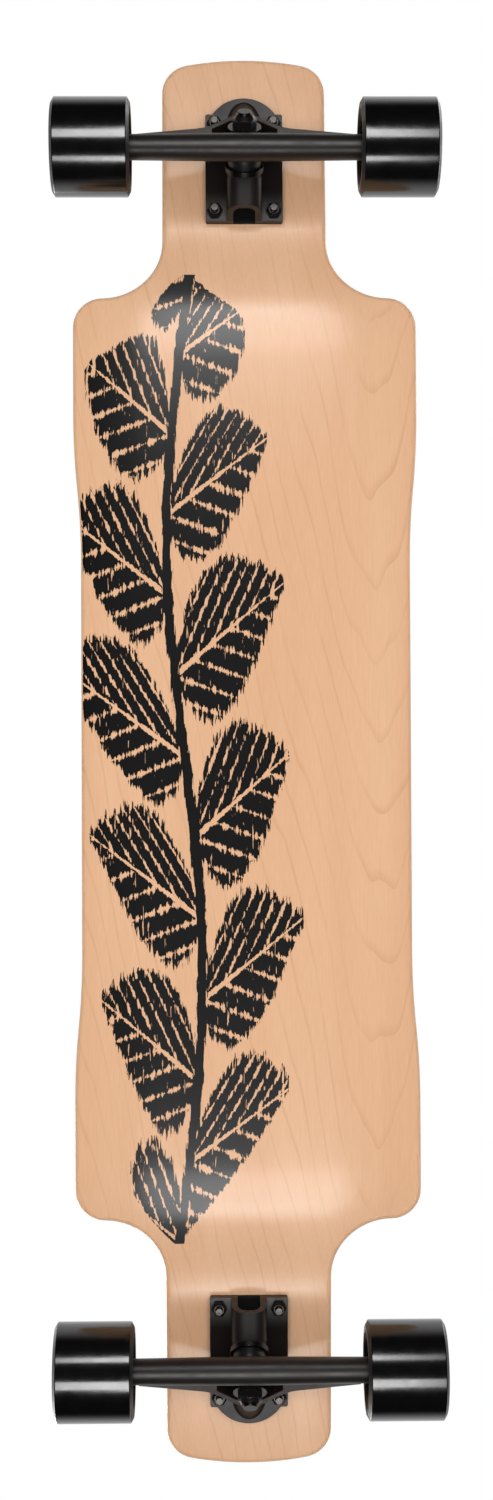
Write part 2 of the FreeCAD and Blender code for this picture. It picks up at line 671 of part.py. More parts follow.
def make_hanger():
    body = new_body("Hanger")
    yoke = both_sides([
        ("yoke_width / 2", "-axle_offset"),
        ("yoke_width / 2", "yoke_flank"),
        ("yoke_tip_width / 2", "pivot_start"),
    ])
    pad(body, outline(body, "XY_Plane", yoke, spot(z=web_half)), f"{web_half} + yoke_depth",
        reverse=True)
    bar_top = "bar_middle_diameter / 2 - axle_depth"
    slope = [
        ("-yoke_back", web_half),
        ("-axle_offset", bar_top),
        ("-2 * axle_offset", bar_top),
        ("-2 * axle_offset", "web_thickness"),
        ("-yoke_back", "web_thickness"),
    ]
    pocket(body, outline(body, "YZ_Plane", slope), symmetric=True)

    wings = both_sides([
        ("wing_span / 2", "-axle_offset"),
        ("wing_span / 2", "-wing_tip"),
        ("yoke_width / 2", "yoke_flank", "wing_radius"),
        ("yoke_tip_width / 2", "pivot_start"),
    ])
    pad(body, outline(body, "XY_Plane", wings, spot(z="-wing_top")), "wing_bottom - wing_top",
        reverse=True)

    axle_line = spot(y="-axle_offset", z="-axle_depth")
    bar = [
        ("-hanger_width / 2", "0"),
        ("hanger_width / 2", "0"),
        ("hanger_width / 2", "bar_end_diameter / 2"),
        ("0", "bar_middle_diameter / 2"),
        ("-hanger_width / 2", "bar_end_diameter / 2"),
    ]
    revolve(body, outline(body, "XY_Plane", bar, axle_line), "H_Axis")

    stub = "bushing_diameter / 2 + stub_gap"
    pivot = [
        ("0", stub),
        ("pivot_root_diameter / 2", stub),
        ("pivot_root_diameter / 2", "pivot_start"),
        ("pivot_tip_diameter / 2", "pivot_end", "pivot_tip_radius"),
        ("0", "pivot_end"),
    ]
    revolve(body, outline(body, "XY_Plane", pivot), "V_Axis")

    hollow = both_sides([
        ("yoke_width / 2 - pocket_wall", "-pocket_back"),
        ("yoke_width / 2 - pocket_wall", "yoke_flank - pocket_wall / 2"),
        ("pocket_tip_width / 2", "pocket_front"),
    ])
    pocket(body, outline(body, "XY_Plane", hollow, spot(z=f"-{web_half}")))
    primitive(body, "SubtractiveCylinder", spot(z="-web_thickness"), Radius="ring_bore / 2",
              Height="2 * web_thickness")
    drill = f"{axle_line} * {spot(x='-hanger_width')} * {across_truck}"
    primitive(body, "SubtractiveCylinder", drill, Radius="axle_diameter / 2",
              Height="2 * hanger_width")
    return body


hanger = make_hanger()

# Axle and what is threaded on it, outwards from each end of the hanger bar

hanger_end = "(hanger_width / 2)"
wheel_middle = f"({hanger_end} + speed_washer_thickness + bearing_width + spacer_length / 2)"
bearing_middle = "((spacer_length + bearing_width) / 2)"
outer_washer = f"({wheel_middle} + spacer_length / 2 + bearing_width)"
axle_nut_seat = f"({outer_washer} + speed_washer_thickness)"
axle_end = f"({axle_nut_seat} + axle_nut_hex + axle_nut_collar + axle_overhang)"

axle = turned("Axle", [
    ("0", f"-{axle_end}"),
    ("axle_diameter / 2", f"-{axle_end}"),
    ("axle_diameter / 2", axle_end),
    ("0", axle_end),
])
speed_washer = tube("Speed washer", "speed_washer_diameter / 2", "bearing_bore / 2",
                    "0", "speed_washer_thickness")
spacer = tube("Bearing spacer", "spacer_diameter / 2", "bearing_bore / 2",
              "-spacer_length / 2", "spacer_length / 2")

# Wheel, turned about the axle around its own middle

tyre = turned("Tyre", [
    ("core_diameter / 2", "hollow_depth - wheel_width / 2"),
    ("side_ring_diameter / 2", "-wheel_width / 2", "side_ring_radius"),
    ("wheel_diameter / 2 - lip_height", "-wheel_width / 2", "lip_side_radius"),
    ("wheel_diameter / 2", "lip_width - wheel_width / 2", "lip_tread_radius"),
    ("wheel_diameter / 2", "wheel_width / 2 - lip_width", "lip_tread_radius"),
    ("wheel_diameter / 2 - lip_height", "wheel_width / 2", "lip_side_radius"),
    ("side_ring_diameter / 2", "wheel_width / 2", "side_ring_radius"),
    ("core_diameter / 2", "wheel_width / 2 - hollow_depth"),
])

seat_end = "(spacer_length / 2 + bearing_width)"
core_half = [
    ("core_shoulder_diameter / 2", "spacer_length / 2"),
    ("bearing_diameter / 2", "spacer_length / 2"),
    ("bearing_diameter / 2", seat_end),
    ("bearing_diameter / 2 + core_mouth_clearance", seat_end),
    ("bearing_diameter / 2 + core_mouth_clearance", "core_width / 2"),
    ("core_diameter / 2", "core_width / 2"),
]
core = turned("Wheel core", core_half + [(x, f"-{y}") for x, y in reversed(core_half)])

# Ball bearing, around its own middle

bearing_half = "(bearing_width / 2)"
shield_seat = f"({bearing_half} - shield_seat_depth)"
outer_ring_half = [
    ("bearing_diameter / 2", bearing_half),
    ("shield_seat_diameter / 2", bearing_half),
    ("shield_seat_diameter / 2", shield_seat),
    ("outer_land_diameter / 2", shield_seat),
]
outer_ring = turned("Outer ring",
                    outer_ring_half + [(x, f"-{y}") for x, y in reversed(outer_ring_half)])
inner_ring = tube("Inner ring", "inner_land_diameter / 2", "bearing_bore / 2",
                  f"-{bearing_half}", bearing_half)
for ring in (outer_ring, inner_ring):
    primitive(ring, "SubtractiveTorus", Radius1="ball_pitch_diameter / 2",
              Radius2="ball_diameter / 2 + groove_clearance")

ball = new_body("Ball")
primitive(ball, "AdditiveSphere", Radius="ball_diameter / 2")

cage = tube("Cage", "(ball_pitch_diameter + cage_wall) / 2", "(ball_pitch_diameter - cage_wall) / 2",
            "-cage_root", "cage_top")
ball_seat = primitive(cage, "SubtractiveSphere", spot(x="ball_pitch_diameter / 2"),
                      Radius="ball_diameter / 2 + cage_clearance")
ball_seats = cage.newObject("PartDesign::PolarPattern", "BallSeats")
ball_seats.Originals = [ball_seat]
ball_seats.Axis = (origin_feature(cage, "Z_Axis"), [""])
ball_seats.Angle = 360
bind(ball_seats, Occurrences="ball_count")
cage.Tip = ball_seats

shield = tube("Shield", "shield_seat_diameter / 2", "inner_land_diameter / 2 + shield_clearance",
              shield_seat, f"{shield_seat} + shield_thickness")

# Where the pieces stand

nodes = []


def turn(axis, angle):
    return Placement(Vector(), Rotation(axis, angle))


def shift(x=0, y=0, z=0):
    return Placement(Vector(x, y, z), Rotation())


x_axis = Vector(1, 0, 0)
y_axis = Vector(0, 1, 0)
z_axis = Vector(0, 0, 1)


# One sub-part: copies of a piece at places within the sub-part's own frame.
def node(label, frame, piece, places=(Placement(),)):
    links = []
    for place in places:
        link = doc.addObject("App::Link", "Copy")
        link.LinkedObject = piece
        link.Placement = place
        links.append(link)
    part = doc.addObject("Part::Compound", "Part")
    part.Label = label
    part.Links = links
    part.Placement = frame
    nodes.append(part)


steer_frame = shift(0, num("pivot_offset"), -num("pivot_depth")) * turn(x_axis, num("kingpin_angle"))
axle_frame = shift(0, -num("axle_offset"), -num("axle_depth")) * turn(y_axis, 90)
tilt = turn(x_axis, num("platform_tilt"))
axle_drop = -(tilt * steer_frame * axle_frame).Base.z
truck_height = num("wheel_diameter / 2") + axle_drop
deck_frame = shift(z=truck_height - num(truck_rise))

node("deck", deck_frame, deck)
node("grip_tape", deck_frame, grip_tape)

bolts = [shift(across * num("bolt_spread / 2"), along * num("bolt_span / 2"))
         for across, along in bolt_corners]
under_plate = shift(z=-num("plate_thickness"))
bearing_step = num(bearing_middle)
bearings = [shift(z=bearing_step), shift(z=-bearing_step)]
flip = turn(x_axis, 180)
ball_ring = [turn(z_axis, 360 * index / num("ball_count")) * shift(num("ball_pitch_diameter / 2"))
             for index in range(int(num("ball_count")))]

for end, about in (("front", 0), ("rear", 180)):
    truck = turn(z_axis, about) * shift(0, num(truck_station), truck_height) * tilt
    node(f"{end}_mounting_screws", truck, mounting_screw, bolts)
    node(f"{end}_mounting_nuts", truck, mounting_nut, [under_plate * bolt for bolt in bolts])
    node(f"{end}_riser_pad", truck, riser_pad)
    node(f"{end}_baseplate", truck, baseplate)

    steer = truck * steer_frame
    node(f"{end}_pivot_cup", steer, pivot_cup, [turn(x_axis, -90)])
    node(f"{end}_kingpin", steer, kingpin)
    node(f"{end}_kingpin_nut", steer, kingpin_nut, [shift(z=num(nut_face))])
    node(f"{end}_boardside_washer", steer, board_washer)
    node(f"{end}_boardside_bushing", steer, board_bushing)
    node(f"{end}_roadside_bushing", steer, road_bushing)
    node(f"{end}_roadside_washer", steer, road_washer)
    node(f"{end}_hanger", steer, hanger)

    axle_line = steer * axle_frame
    sides = (Placement(), flip)
    washers = (shift(z=num(hanger_end)), shift(z=num(outer_washer)))
    seat = shift(z=num(axle_nut_seat)) * flip
    middle = shift(z=num(wheel_middle))
    node(f"{end}_axle", axle_line, axle)
    node(f"{end}_axle_nuts", axle_line, axle_nut, [side * seat for side in sides])
    node(f"{end}_speed_washers", axle_line, speed_washer,
         [side * washer for side in sides for washer in washers])
    node(f"{end}_bearing_inner_rings", axle_line, inner_ring,
         [side * middle * bearing for side in sides for bearing in bearings])
    node(f"{end}_bearing_spacers", axle_line, spacer, [side * middle for side in sides])

    for hand, side in zip(("right", "left") if about == 0 else ("left", "right"), sides):
        wheel = axle_line * side * middle
        name = f"{end}_{hand}"
        node(f"{name}_tyre", wheel, tyre)
        node(f"{name}_core", wheel, core)
        node(f"{name}_bearing_outer_rings", wheel, outer_ring, bearings)
        node(f"{name}_bearing_shields", wheel, shield,
             [bearing * face for bearing in bearings for face in sides])
        node(f"{name}_bearing_cages", wheel, cage, bearings)
        node(f"{name}_bearing_balls", wheel, ball,
             [bearing * place for bearing in bearings for place in ball_ring])
    ring_centre = steer.Base
    pivot_axis = steer.Rotation.multVec(y_axis)
    print(end, "ring centre", ring_centre, "pivot axis", pivot_axis, "axle", axle_line.Base)

doc.recompute()
print("deck underside at", deck_frame.Base.z, "wheel middle", num(wheel_middle))

faulty = [item.Label for item in doc.Objects if "Invalid" in item.State or "Error" in item.State]
if faulty:
    raise RuntimeError("not built: " + ", ".join(faulty))
for part in nodes:
    if part.Shape.isNull() or not part.Shape.isValid():
        raise RuntimeError("bad shape: " + part.Label)

os.makedirs("parts", exist_ok=True)
for part in nodes:
    part.Shape.exportStep(f"parts/{part.Label}.step")
print(len(nodes), "sub-parts written")
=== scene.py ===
import json
import math

import bpy
import numpy as np
from mathutils import Matrix, Vector
from mathutils.geometry import delaunay_2d_cdt


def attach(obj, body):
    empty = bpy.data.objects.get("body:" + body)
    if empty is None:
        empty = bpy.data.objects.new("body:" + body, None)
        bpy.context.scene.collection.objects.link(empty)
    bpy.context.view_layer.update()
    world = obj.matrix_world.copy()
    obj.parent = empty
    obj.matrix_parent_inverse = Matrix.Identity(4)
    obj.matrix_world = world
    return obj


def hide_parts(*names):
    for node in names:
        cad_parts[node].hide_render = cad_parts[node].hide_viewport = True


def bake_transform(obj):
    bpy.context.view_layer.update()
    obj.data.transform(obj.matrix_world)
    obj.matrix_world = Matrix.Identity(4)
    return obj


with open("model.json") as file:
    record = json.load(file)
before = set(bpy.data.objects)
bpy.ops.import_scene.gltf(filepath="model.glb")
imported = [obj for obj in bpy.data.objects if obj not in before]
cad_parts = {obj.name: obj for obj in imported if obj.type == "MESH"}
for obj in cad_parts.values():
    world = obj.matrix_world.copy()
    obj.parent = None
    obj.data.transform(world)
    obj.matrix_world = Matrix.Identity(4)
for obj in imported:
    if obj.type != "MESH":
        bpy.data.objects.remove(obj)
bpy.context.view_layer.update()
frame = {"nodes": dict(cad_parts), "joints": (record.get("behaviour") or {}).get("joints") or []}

nodes = frame["nodes"]
joints = {joint["name"]: joint for joint in frame["joints"]}
ends = ("front", "rear")
wheels = [f"{end}_{hand}" for end in ends for hand in ("left", "right")]
mm = 0.001


# Small helpers

def linear(hexText):
    channels = [int(hexText[i:i + 2], 16) / 255 for i in (0, 2, 4)]
    return [c / 12.92 if c <= 0.04045 else ((c + 0.055) / 1.055) ** 2.4 for c in channels] + [1]


# Scale of a texture that repeats or changes about once in a given length
def perLength(size):
    return 1 / size


# Sets or links a node's inputs: a node stands for its first output
def feed(tree, node, inputs):
    for key, value in dict(inputs).items():
        if isinstance(value, bpy.types.Node):
            value = value.outputs[0]
        if isinstance(value, bpy.types.NodeSocket):
            tree.links.new(value, node.inputs[key])
        else:
            node.inputs[key].default_value = value


def addNode(tree, kind, inputs=(), **settings):
    node = tree.nodes.new(kind)
    for name, value in settings.items():
        setattr(node, name, value)
    feed(tree, node, inputs)
    return node


def newMaterial(name):
    material = bpy.data.materials.new(name)
    material.use_nodes = True
    tree = material.node_tree
    tree.nodes.clear()
    surface = addNode(tree, "ShaderNodeBsdfPrincipled")
    addNode(tree, "ShaderNodeOutputMaterial", {"Surface": surface})
    spot = addNode(tree, "ShaderNodeTexCoord").outputs["Object"]
    return material, tree, surface, spot


def setMaterial(mesh, material):
    mesh.materials.clear()
    mesh.materials.append(material)


def newObject(name, mesh, material):
    piece = bpy.data.objects.new(name, mesh)
    bpy.context.scene.collection.objects.link(piece)
    setMaterial(mesh, material)
    return piece


def finishNodes(material, *names):
    for name in names:
        setMaterial(nodes[name].data, material)


# Geometry Nodes trees: sockets, the closing nodes, and the bake to a plain mesh

def newTree(name, **sockets):
    tree = bpy.data.node_groups.new(name, "GeometryNodeTree")
    tree.interface.new_socket("Geometry", in_out="OUTPUT", socket_type="NodeSocketGeometry")
    for label, kind in sockets.items():
        tree.interface.new_socket(label, in_out="INPUT", socket_type="NodeSocket" + kind)
    return tree, addNode(tree, "NodeGroupInput").outputs


def closeTree(tree, shape, material):
    smooth = addNode(tree, "GeometryNodeSetShadeSmooth", {"Geometry": shape})
    whole = addNode(tree, "GeometryNodeRealizeInstances", {"Geometry": smooth})
    finished = addNode(tree, "GeometryNodeSetMaterial", {"Geometry": whole, "Material": material})
    addNode(tree, "NodeGroupOutput", {"Geometry": finished})
    return tree


def bake(holder):
    holder.modifiers.new("even shading", "WEIGHTED_NORMAL")
    depsgraph = bpy.context.evaluated_depsgraph_get()
    mesh = bpy.data.meshes.new_from_object(holder.evaluated_get(depsgraph), preserve_all_data_layers=True,
                                           depsgraph=depsgraph)
    name = holder.name
    bpy.data.objects.remove(holder)
    return name, mesh


def growPiece(name, tree, start, **values):
    holder = bpy.data.objects.new(name, start)
    bpy.context.scene.collection.objects.link(holder)
    modifier = holder.modifiers.new("shape", "NODES")
    modifier.node_group = tree
    for item in tree.interface.items_tree:
        if item.in_out == "INPUT" and item.name in values:
            modifier[item.identifier] = values[item.name]
    return newObject(*bake(holder), values["Material"])


# A rounded section swept round a ring
def turnedTree():
    tree, given = newTree("turned piece", Geometry="Geometry", Segments="Int", Steps="Int", Ring="Float",
                          Turn="Rotation", Place="Vector", Material="Material")
    section = addNode(tree, "GeometryNodeMeshToCurve", {"Mesh": given["Geometry"]})
    rounding = addNode(tree, "GeometryNodeInputNamedAttribute", {"Name": "rounding"}, data_type="FLOAT")
    rounded = addNode(tree, "GeometryNodeFilletCurve", {
        "Curve": section, "Radius": rounding, "Count": given["Steps"]}, mode="POLY")
    ring = addNode(tree, "GeometryNodeCurvePrimitiveCircle", {
        "Resolution": given["Segments"], "Radius": given["Ring"]})
    upright = addNode(tree, "GeometryNodeSetCurveNormal", {"Curve": ring}, mode="Z_UP")
    swept = addNode(tree, "GeometryNodeCurveToMesh", {"Curve": upright, "Profile Curve": rounded})
    outward = addNode(tree, "GeometryNodeFlipFaces", {"Mesh": swept})
    placed = addNode(tree, "GeometryNodeTransform", {
        "Geometry": outward, "Translation": given["Place"], "Rotation": given["Turn"]})
    return closeTree(tree, placed, given["Material"])


# A ridge wound round a rod, one at each given point
def threadTree():
    tree, given = newTree("thread set", Geometry="Geometry", Radius="Float", Pitch="Float", Turns="Float",
                          Ridge="Float", Turn="Rotation", Material="Material")
    rise = addNode(tree, "ShaderNodeMath", {0: given["Pitch"], 1: given["Turns"]}, operation="MULTIPLY")
    winding = addNode(tree, "GeometryNodeCurveSpiral", {
        "Resolution": 28, "Rotations": given["Turns"], "Start Radius": given["Radius"],
        "End Radius": given["Radius"], "Height": rise})
    section = addNode(tree, "GeometryNodeCurvePrimitiveCircle", {"Resolution": 4, "Radius": given["Ridge"]})
    ridge = addNode(tree, "GeometryNodeCurveToMesh", {
        "Curve": winding, "Profile Curve": section, "Fill Caps": True})
    spread = addNode(tree, "GeometryNodeInstanceOnPoints", {
        "Points": given["Geometry"], "Instance": ridge, "Rotation": given["Turn"]})
    return closeTree(tree, spread, given["Material"])


# Corners of a section are (radius, along, rounding) in millimetres
def sectionMesh(corners, ring):
    mesh = bpy.data.meshes.new("section")
    points = [(corner[0] * mm - ring, -corner[1] * mm, 0) for corner in corners]
    count = len(points)
    mesh.from_pydata(points, [(i, (i + 1) % count) for i in range(count)], [])
    rounding = mesh.attributes.new("rounding", "FLOAT", "POINT")
    rounding.data.foreach_set("value", [corner[2] * mm for corner in corners])
    return mesh


def pointMesh(points):
    mesh = bpy.data.meshes.new("points")
    mesh.from_pydata([tuple(point) for point in points], [], [])
    return mesh


# Materials

def blackPowderCoat():  # satin powder coat on die-cast aluminium: fine orange peel; edges painted lighter, partly thin wear and partly a painted highlight
    coat = dict(colour="1d1715", edgeWearAndHighlight="574c46", peel=0.9 * mm, peelDepth=0.05 * mm, patch=14 * mm,
                edge=0.7 * mm)
    material, tree, surface, spot = newMaterial("black powder coated cast aluminium")
    peel = addNode(tree, "ShaderNodeTexNoise", {
        "Vector": spot, "Scale": perLength(coat["peel"]), "Detail": 2.0})
    patches = addNode(tree, "ShaderNodeTexNoise", {
        "Vector": spot, "Scale": perLength(coat["patch"]), "Detail": 4.0})
    rounded = addNode(tree, "ShaderNodeBevel", {"Radius": coat["edge"]}, samples=4)
    facing = addNode(tree, "ShaderNodeNewGeometry").outputs["Normal"]
    along = addNode(tree, "ShaderNodeVectorMath", {0: rounded, 1: facing}, operation="DOT_PRODUCT")
    # edges painted lighter in a brownish grey: partly thin wear of the coat, partly a painted highlight where
    # light catches the edges
    edgeWearAndHighlight = addNode(tree, "ShaderNodeMapRange", {
        "Value": along.outputs["Value"], "From Min": 0.97, "From Max": 0.82, "To Max": 0.6})
    colour = addNode(tree, "ShaderNodeMix", {
        0: edgeWearAndHighlight, 6: linear(coat["colour"]), 7: linear(coat["edgeWearAndHighlight"])}, data_type="RGBA")
    rough = addNode(tree, "ShaderNodeMapRange", {
        "Value": patches, "From Min": 0.3, "From Max": 0.7, "To Min": 0.36, "To Max": 0.46})
    bump = addNode(tree, "ShaderNodeBump", {
        "Height": peel, "Normal": rounded, "Strength": 0.25, "Distance": coat["peelDepth"]})
    feed(tree, surface, {"Base Color": colour.outputs[2], "Roughness": rough, "Normal": bump,
                         "Specular IOR Level": 0.4})
    return material


# Plated, oxidised or ground steel: a crisp shine with faint marks, drawn coarser than real so that they show
def plainMetal(name, colour, rough, grain, metallic=1.0):
    skin = dict(edge=0.35 * mm, markDepth=0.03 * mm)
    material, tree, surface, spot = newMaterial(name)
    marks = addNode(tree, "ShaderNodeTexNoise", {"Vector": spot, "Scale": perLength(grain), "Detail": 3.0})
    rounded = addNode(tree, "ShaderNodeBevel", {"Radius": skin["edge"]}, samples=4)
    uneven = addNode(tree, "ShaderNodeMapRange", {
        "Value": marks, "From Min": 0.3, "From Max": 0.7, "To Min": rough * 0.8, "To Max": rough * 1.25})
    bump = addNode(tree, "ShaderNodeBump", {
        "Height": marks, "Normal": rounded, "Strength": 0.12, "Distance": skin["markDepth"]})
    feed(tree, surface, {"Base Color": linear(colour), "Metallic": metallic, "Roughness": uneven,
                         "Normal": bump})
    return material


# Roughness that drifts with the flow of the pour
def flowMarks(tree, spot, rough, size=9 * mm):
    flow = addNode(tree, "ShaderNodeTexNoise", {"Vector": spot, "Scale": perLength(size), "Detail": 3.0})
    return addNode(tree, "ShaderNodeMapRange", {
        "Value": flow, "From Min": 0.3, "From Max": 0.7, "To Min": rough * 0.85, "To Max": rough * 1.2})


def mouldedSkin(name, colour, rough):  # poured urethane, moulded rubber or nylon: smooth, faint flow marks
    material, tree, surface, spot = newMaterial(name)
    feed(tree, surface, {"Base Color": linear(colour), "Roughness": flowMarks(tree, spot, rough)})
    return material


def polishedUrethane():  # poured polyurethane: polished tread, side walls left matt from the mould
    skin = dict(colour="0b0a0a", tread=0.15, side=0.48, inner=79.4 * mm, outer=128.6 * mm)
    material, tree, surface, spot = newMaterial("glossy cast urethane")
    across = addNode(tree, "ShaderNodeSeparateXYZ", {0: spot}).outputs["X"]
    away = addNode(tree, "ShaderNodeMath", {0: across}, operation="ABSOLUTE")
    middle = (skin["inner"] + skin["outer"]) / 2
    fromMiddle = addNode(tree, "ShaderNodeMath", {0: away, 1: middle}, operation="SUBTRACT")
    reach = addNode(tree, "ShaderNodeMath", {0: fromMiddle}, operation="ABSOLUTE")
    half = (skin["outer"] - skin["inner"]) / 2
    side = addNode(tree, "ShaderNodeMapRange", {
        "Value": reach, "From Min": half - 0.2 * mm, "From Max": half + 0.4 * mm,
        "To Min": skin["tread"], "To Max": skin["side"]})
    rough = addNode(tree, "ShaderNodeMath", {0: side, 1: flowMarks(tree, spot, 1)}, operation="MULTIPLY")
    feed(tree, surface, {"Base Color": linear(skin["colour"]), "Roughness": rough, "IOR": 1.62})
    return material


def lacqueredMaple():  # clear lacquer over sliced maple veneer, with a black ink print below the lacquer
    wood = dict(pale="ebbc94", deep="e3b088", line="c2855f", glue="a67c58", endGrain="d3aa82", ink="0c0b0b",
                plies=9, fibre=0.9 * mm, tone=26 * mm, archAxis=-92 * mm, archRound=18 * mm, archSlope=0.2,
                lineGap=11 * mm, wander=34 * mm, wanderLength=55 * mm, fadeLength=21 * mm,
                poreDepth=0.05 * mm)
    material, tree, surface, spot = newMaterial("lacquered maple laminate")
    depth = addNode(tree, "ShaderNodeAttribute", attribute_name="plyDepth").outputs["Fac"]

    # growth lines a finger's width apart: long nested arches beside one rail, running on along the board
    along = addNode(tree, "ShaderNodeMapping", {"Vector": spot, "Scale": (1, 0.16, 1)})
    wander = addNode(tree, "ShaderNodeTexNoise", {
        "Vector": along, "Scale": perLength(wood["wanderLength"]), "Detail": 2.5})
    place = addNode(tree, "ShaderNodeSeparateXYZ", {0: spot})
    fromAxis = addNode(tree, "ShaderNodeMath", {0: place.outputs["X"], 1: wood["archAxis"]},
                       operation="SUBTRACT")
    squared = addNode(tree, "ShaderNodeMath", {0: fromAxis, 1: fromAxis, 2: wood["archRound"] ** 2},
                      operation="MULTIPLY_ADD")
    arms = addNode(tree, "ShaderNodeMath", {0: squared}, operation="SQRT")
    arched = addNode(tree, "ShaderNodeMath", {0: place.outputs["Y"], 1: -wood["archSlope"], 2: arms},
                     operation="MULTIPLY_ADD")
    shifted = addNode(tree, "ShaderNodeMath", {0: wander, 1: wood["wander"], 2: arched},
                      operation="MULTIPLY_ADD")
    spaced = addNode(tree, "ShaderNodeMath", {0: shifted, 1: wood["lineGap"]}, operation="DIVIDE")
    turn = addNode(tree, "ShaderNodeMath", {0: spaced}, operation="FRACT")
    lineEdge = addNode(tree, "ShaderNodeMapRange", {"Value": turn, "From Min": 0.84, "From Max": 1.0})
    faded = addNode(tree, "ShaderNodeTexNoise", {
        "Vector": along, "Scale": perLength(wood["fadeLength"]), "Detail": 2.0})
    amount = addNode(tree, "ShaderNodeMapRange", {
        "Value": faded, "From Min": 0.3, "From Max": 0.7, "To Max": 0.36})
    lines = addNode(tree, "ShaderNodeMath", {0: lineEdge, 1: amount}, operation="MULTIPLY")

    # fibres along the length, drawn coarser than real so that they show, and broad changes of tone
    stretched = addNode(tree, "ShaderNodeMapping", {"Vector": spot, "Scale": (1, 0.05, 1)})
    fibre = addNode(tree, "ShaderNodeTexNoise", {
        "Vector": stretched, "Scale": perLength(wood["fibre"]), "Detail": 4.0, "Roughness": 0.65})
    tone = addNode(tree, "ShaderNodeTexNoise", {
        "Vector": stretched, "Scale": perLength(wood["tone"]), "Detail": 3.0})
    mixed = addNode(tree, "ShaderNodeMath", {0: fibre, 1: tone}, operation="ADD")
    share = addNode(tree, "ShaderNodeMapRange", {"Value": mixed, "From Min": 0.7, "From Max": 1.3})
    veneer = addNode(tree, "ShaderNodeMix", {
        0: share, 6: linear(wood["deep"]), 7: linear(wood["pale"])}, data_type="RGBA")
    grained = addNode(tree, "ShaderNodeMix", {
        0: lines, 6: veneer.outputs[2], 7: linear(wood["line"])}, data_type="RGBA")

    # sanded edge: plies of turned grain with thin glue lines between
    layer = addNode(tree, "ShaderNodeMath", {0: depth, 1: wood["plies"]}, operation="MULTIPLY")
    inLayer = addNode(tree, "ShaderNodeMath", {0: layer, 1: 1.0}, operation="PINGPONG")
    glueLine = addNode(tree, "ShaderNodeMapRange", {
        "Value": inLayer, "From Min": 0.14, "From Max": 0.03, "To Max": 0.75})
    pair = addNode(tree, "ShaderNodeMath", {0: layer, 1: 2.0}, operation="PINGPONG")
    turned = addNode(tree, "ShaderNodeMapRange", {
        "Value": pair, "From Min": 0.9, "From Max": 1.1, "To Max": 0.55})
    edgeTone = addNode(tree, "ShaderNodeMix", {
        0: turned, 6: grained.outputs[2], 7: linear(wood["endGrain"])}, data_type="RGBA")
    edgeWood = addNode(tree, "ShaderNodeMix", {
        0: glueLine, 6: edgeTone.outputs[2], 7: linear(wood["glue"])}, data_type="RGBA")
    onEdge = addNode(tree, "ShaderNodeMapRange", {"Value": depth, "From Min": 0.03, "From Max": 0.06})
    bare = addNode(tree, "ShaderNodeMix", {
        0: onEdge, 6: grained.outputs[2], 7: edgeWood.outputs[2]}, data_type="RGBA")

    printed = addNode(tree, "ShaderNodeMix", {
        0: leafPrint(tree, spot, depth), 6: bare.outputs[2], 7: linear(wood["ink"])}, data_type="RGBA")
    rough = addNode(tree, "ShaderNodeMapRange", {
        "Value": mixed, "From Min": 0.7, "From Max": 1.3, "To Min": 0.6, "To Max": 0.5})
    bump = addNode(tree, "ShaderNodeBump", {
        "Height": mixed, "Strength": 0.08, "Distance": wood["poreDepth"]})
    feed(tree, surface, {"Base Color": printed.outputs[2], "Roughness": rough, "Normal": bump,
                         "Specular IOR Level": 0.15, "Coat Weight": 0.42, "Coat Roughness": 0.2})
    return material


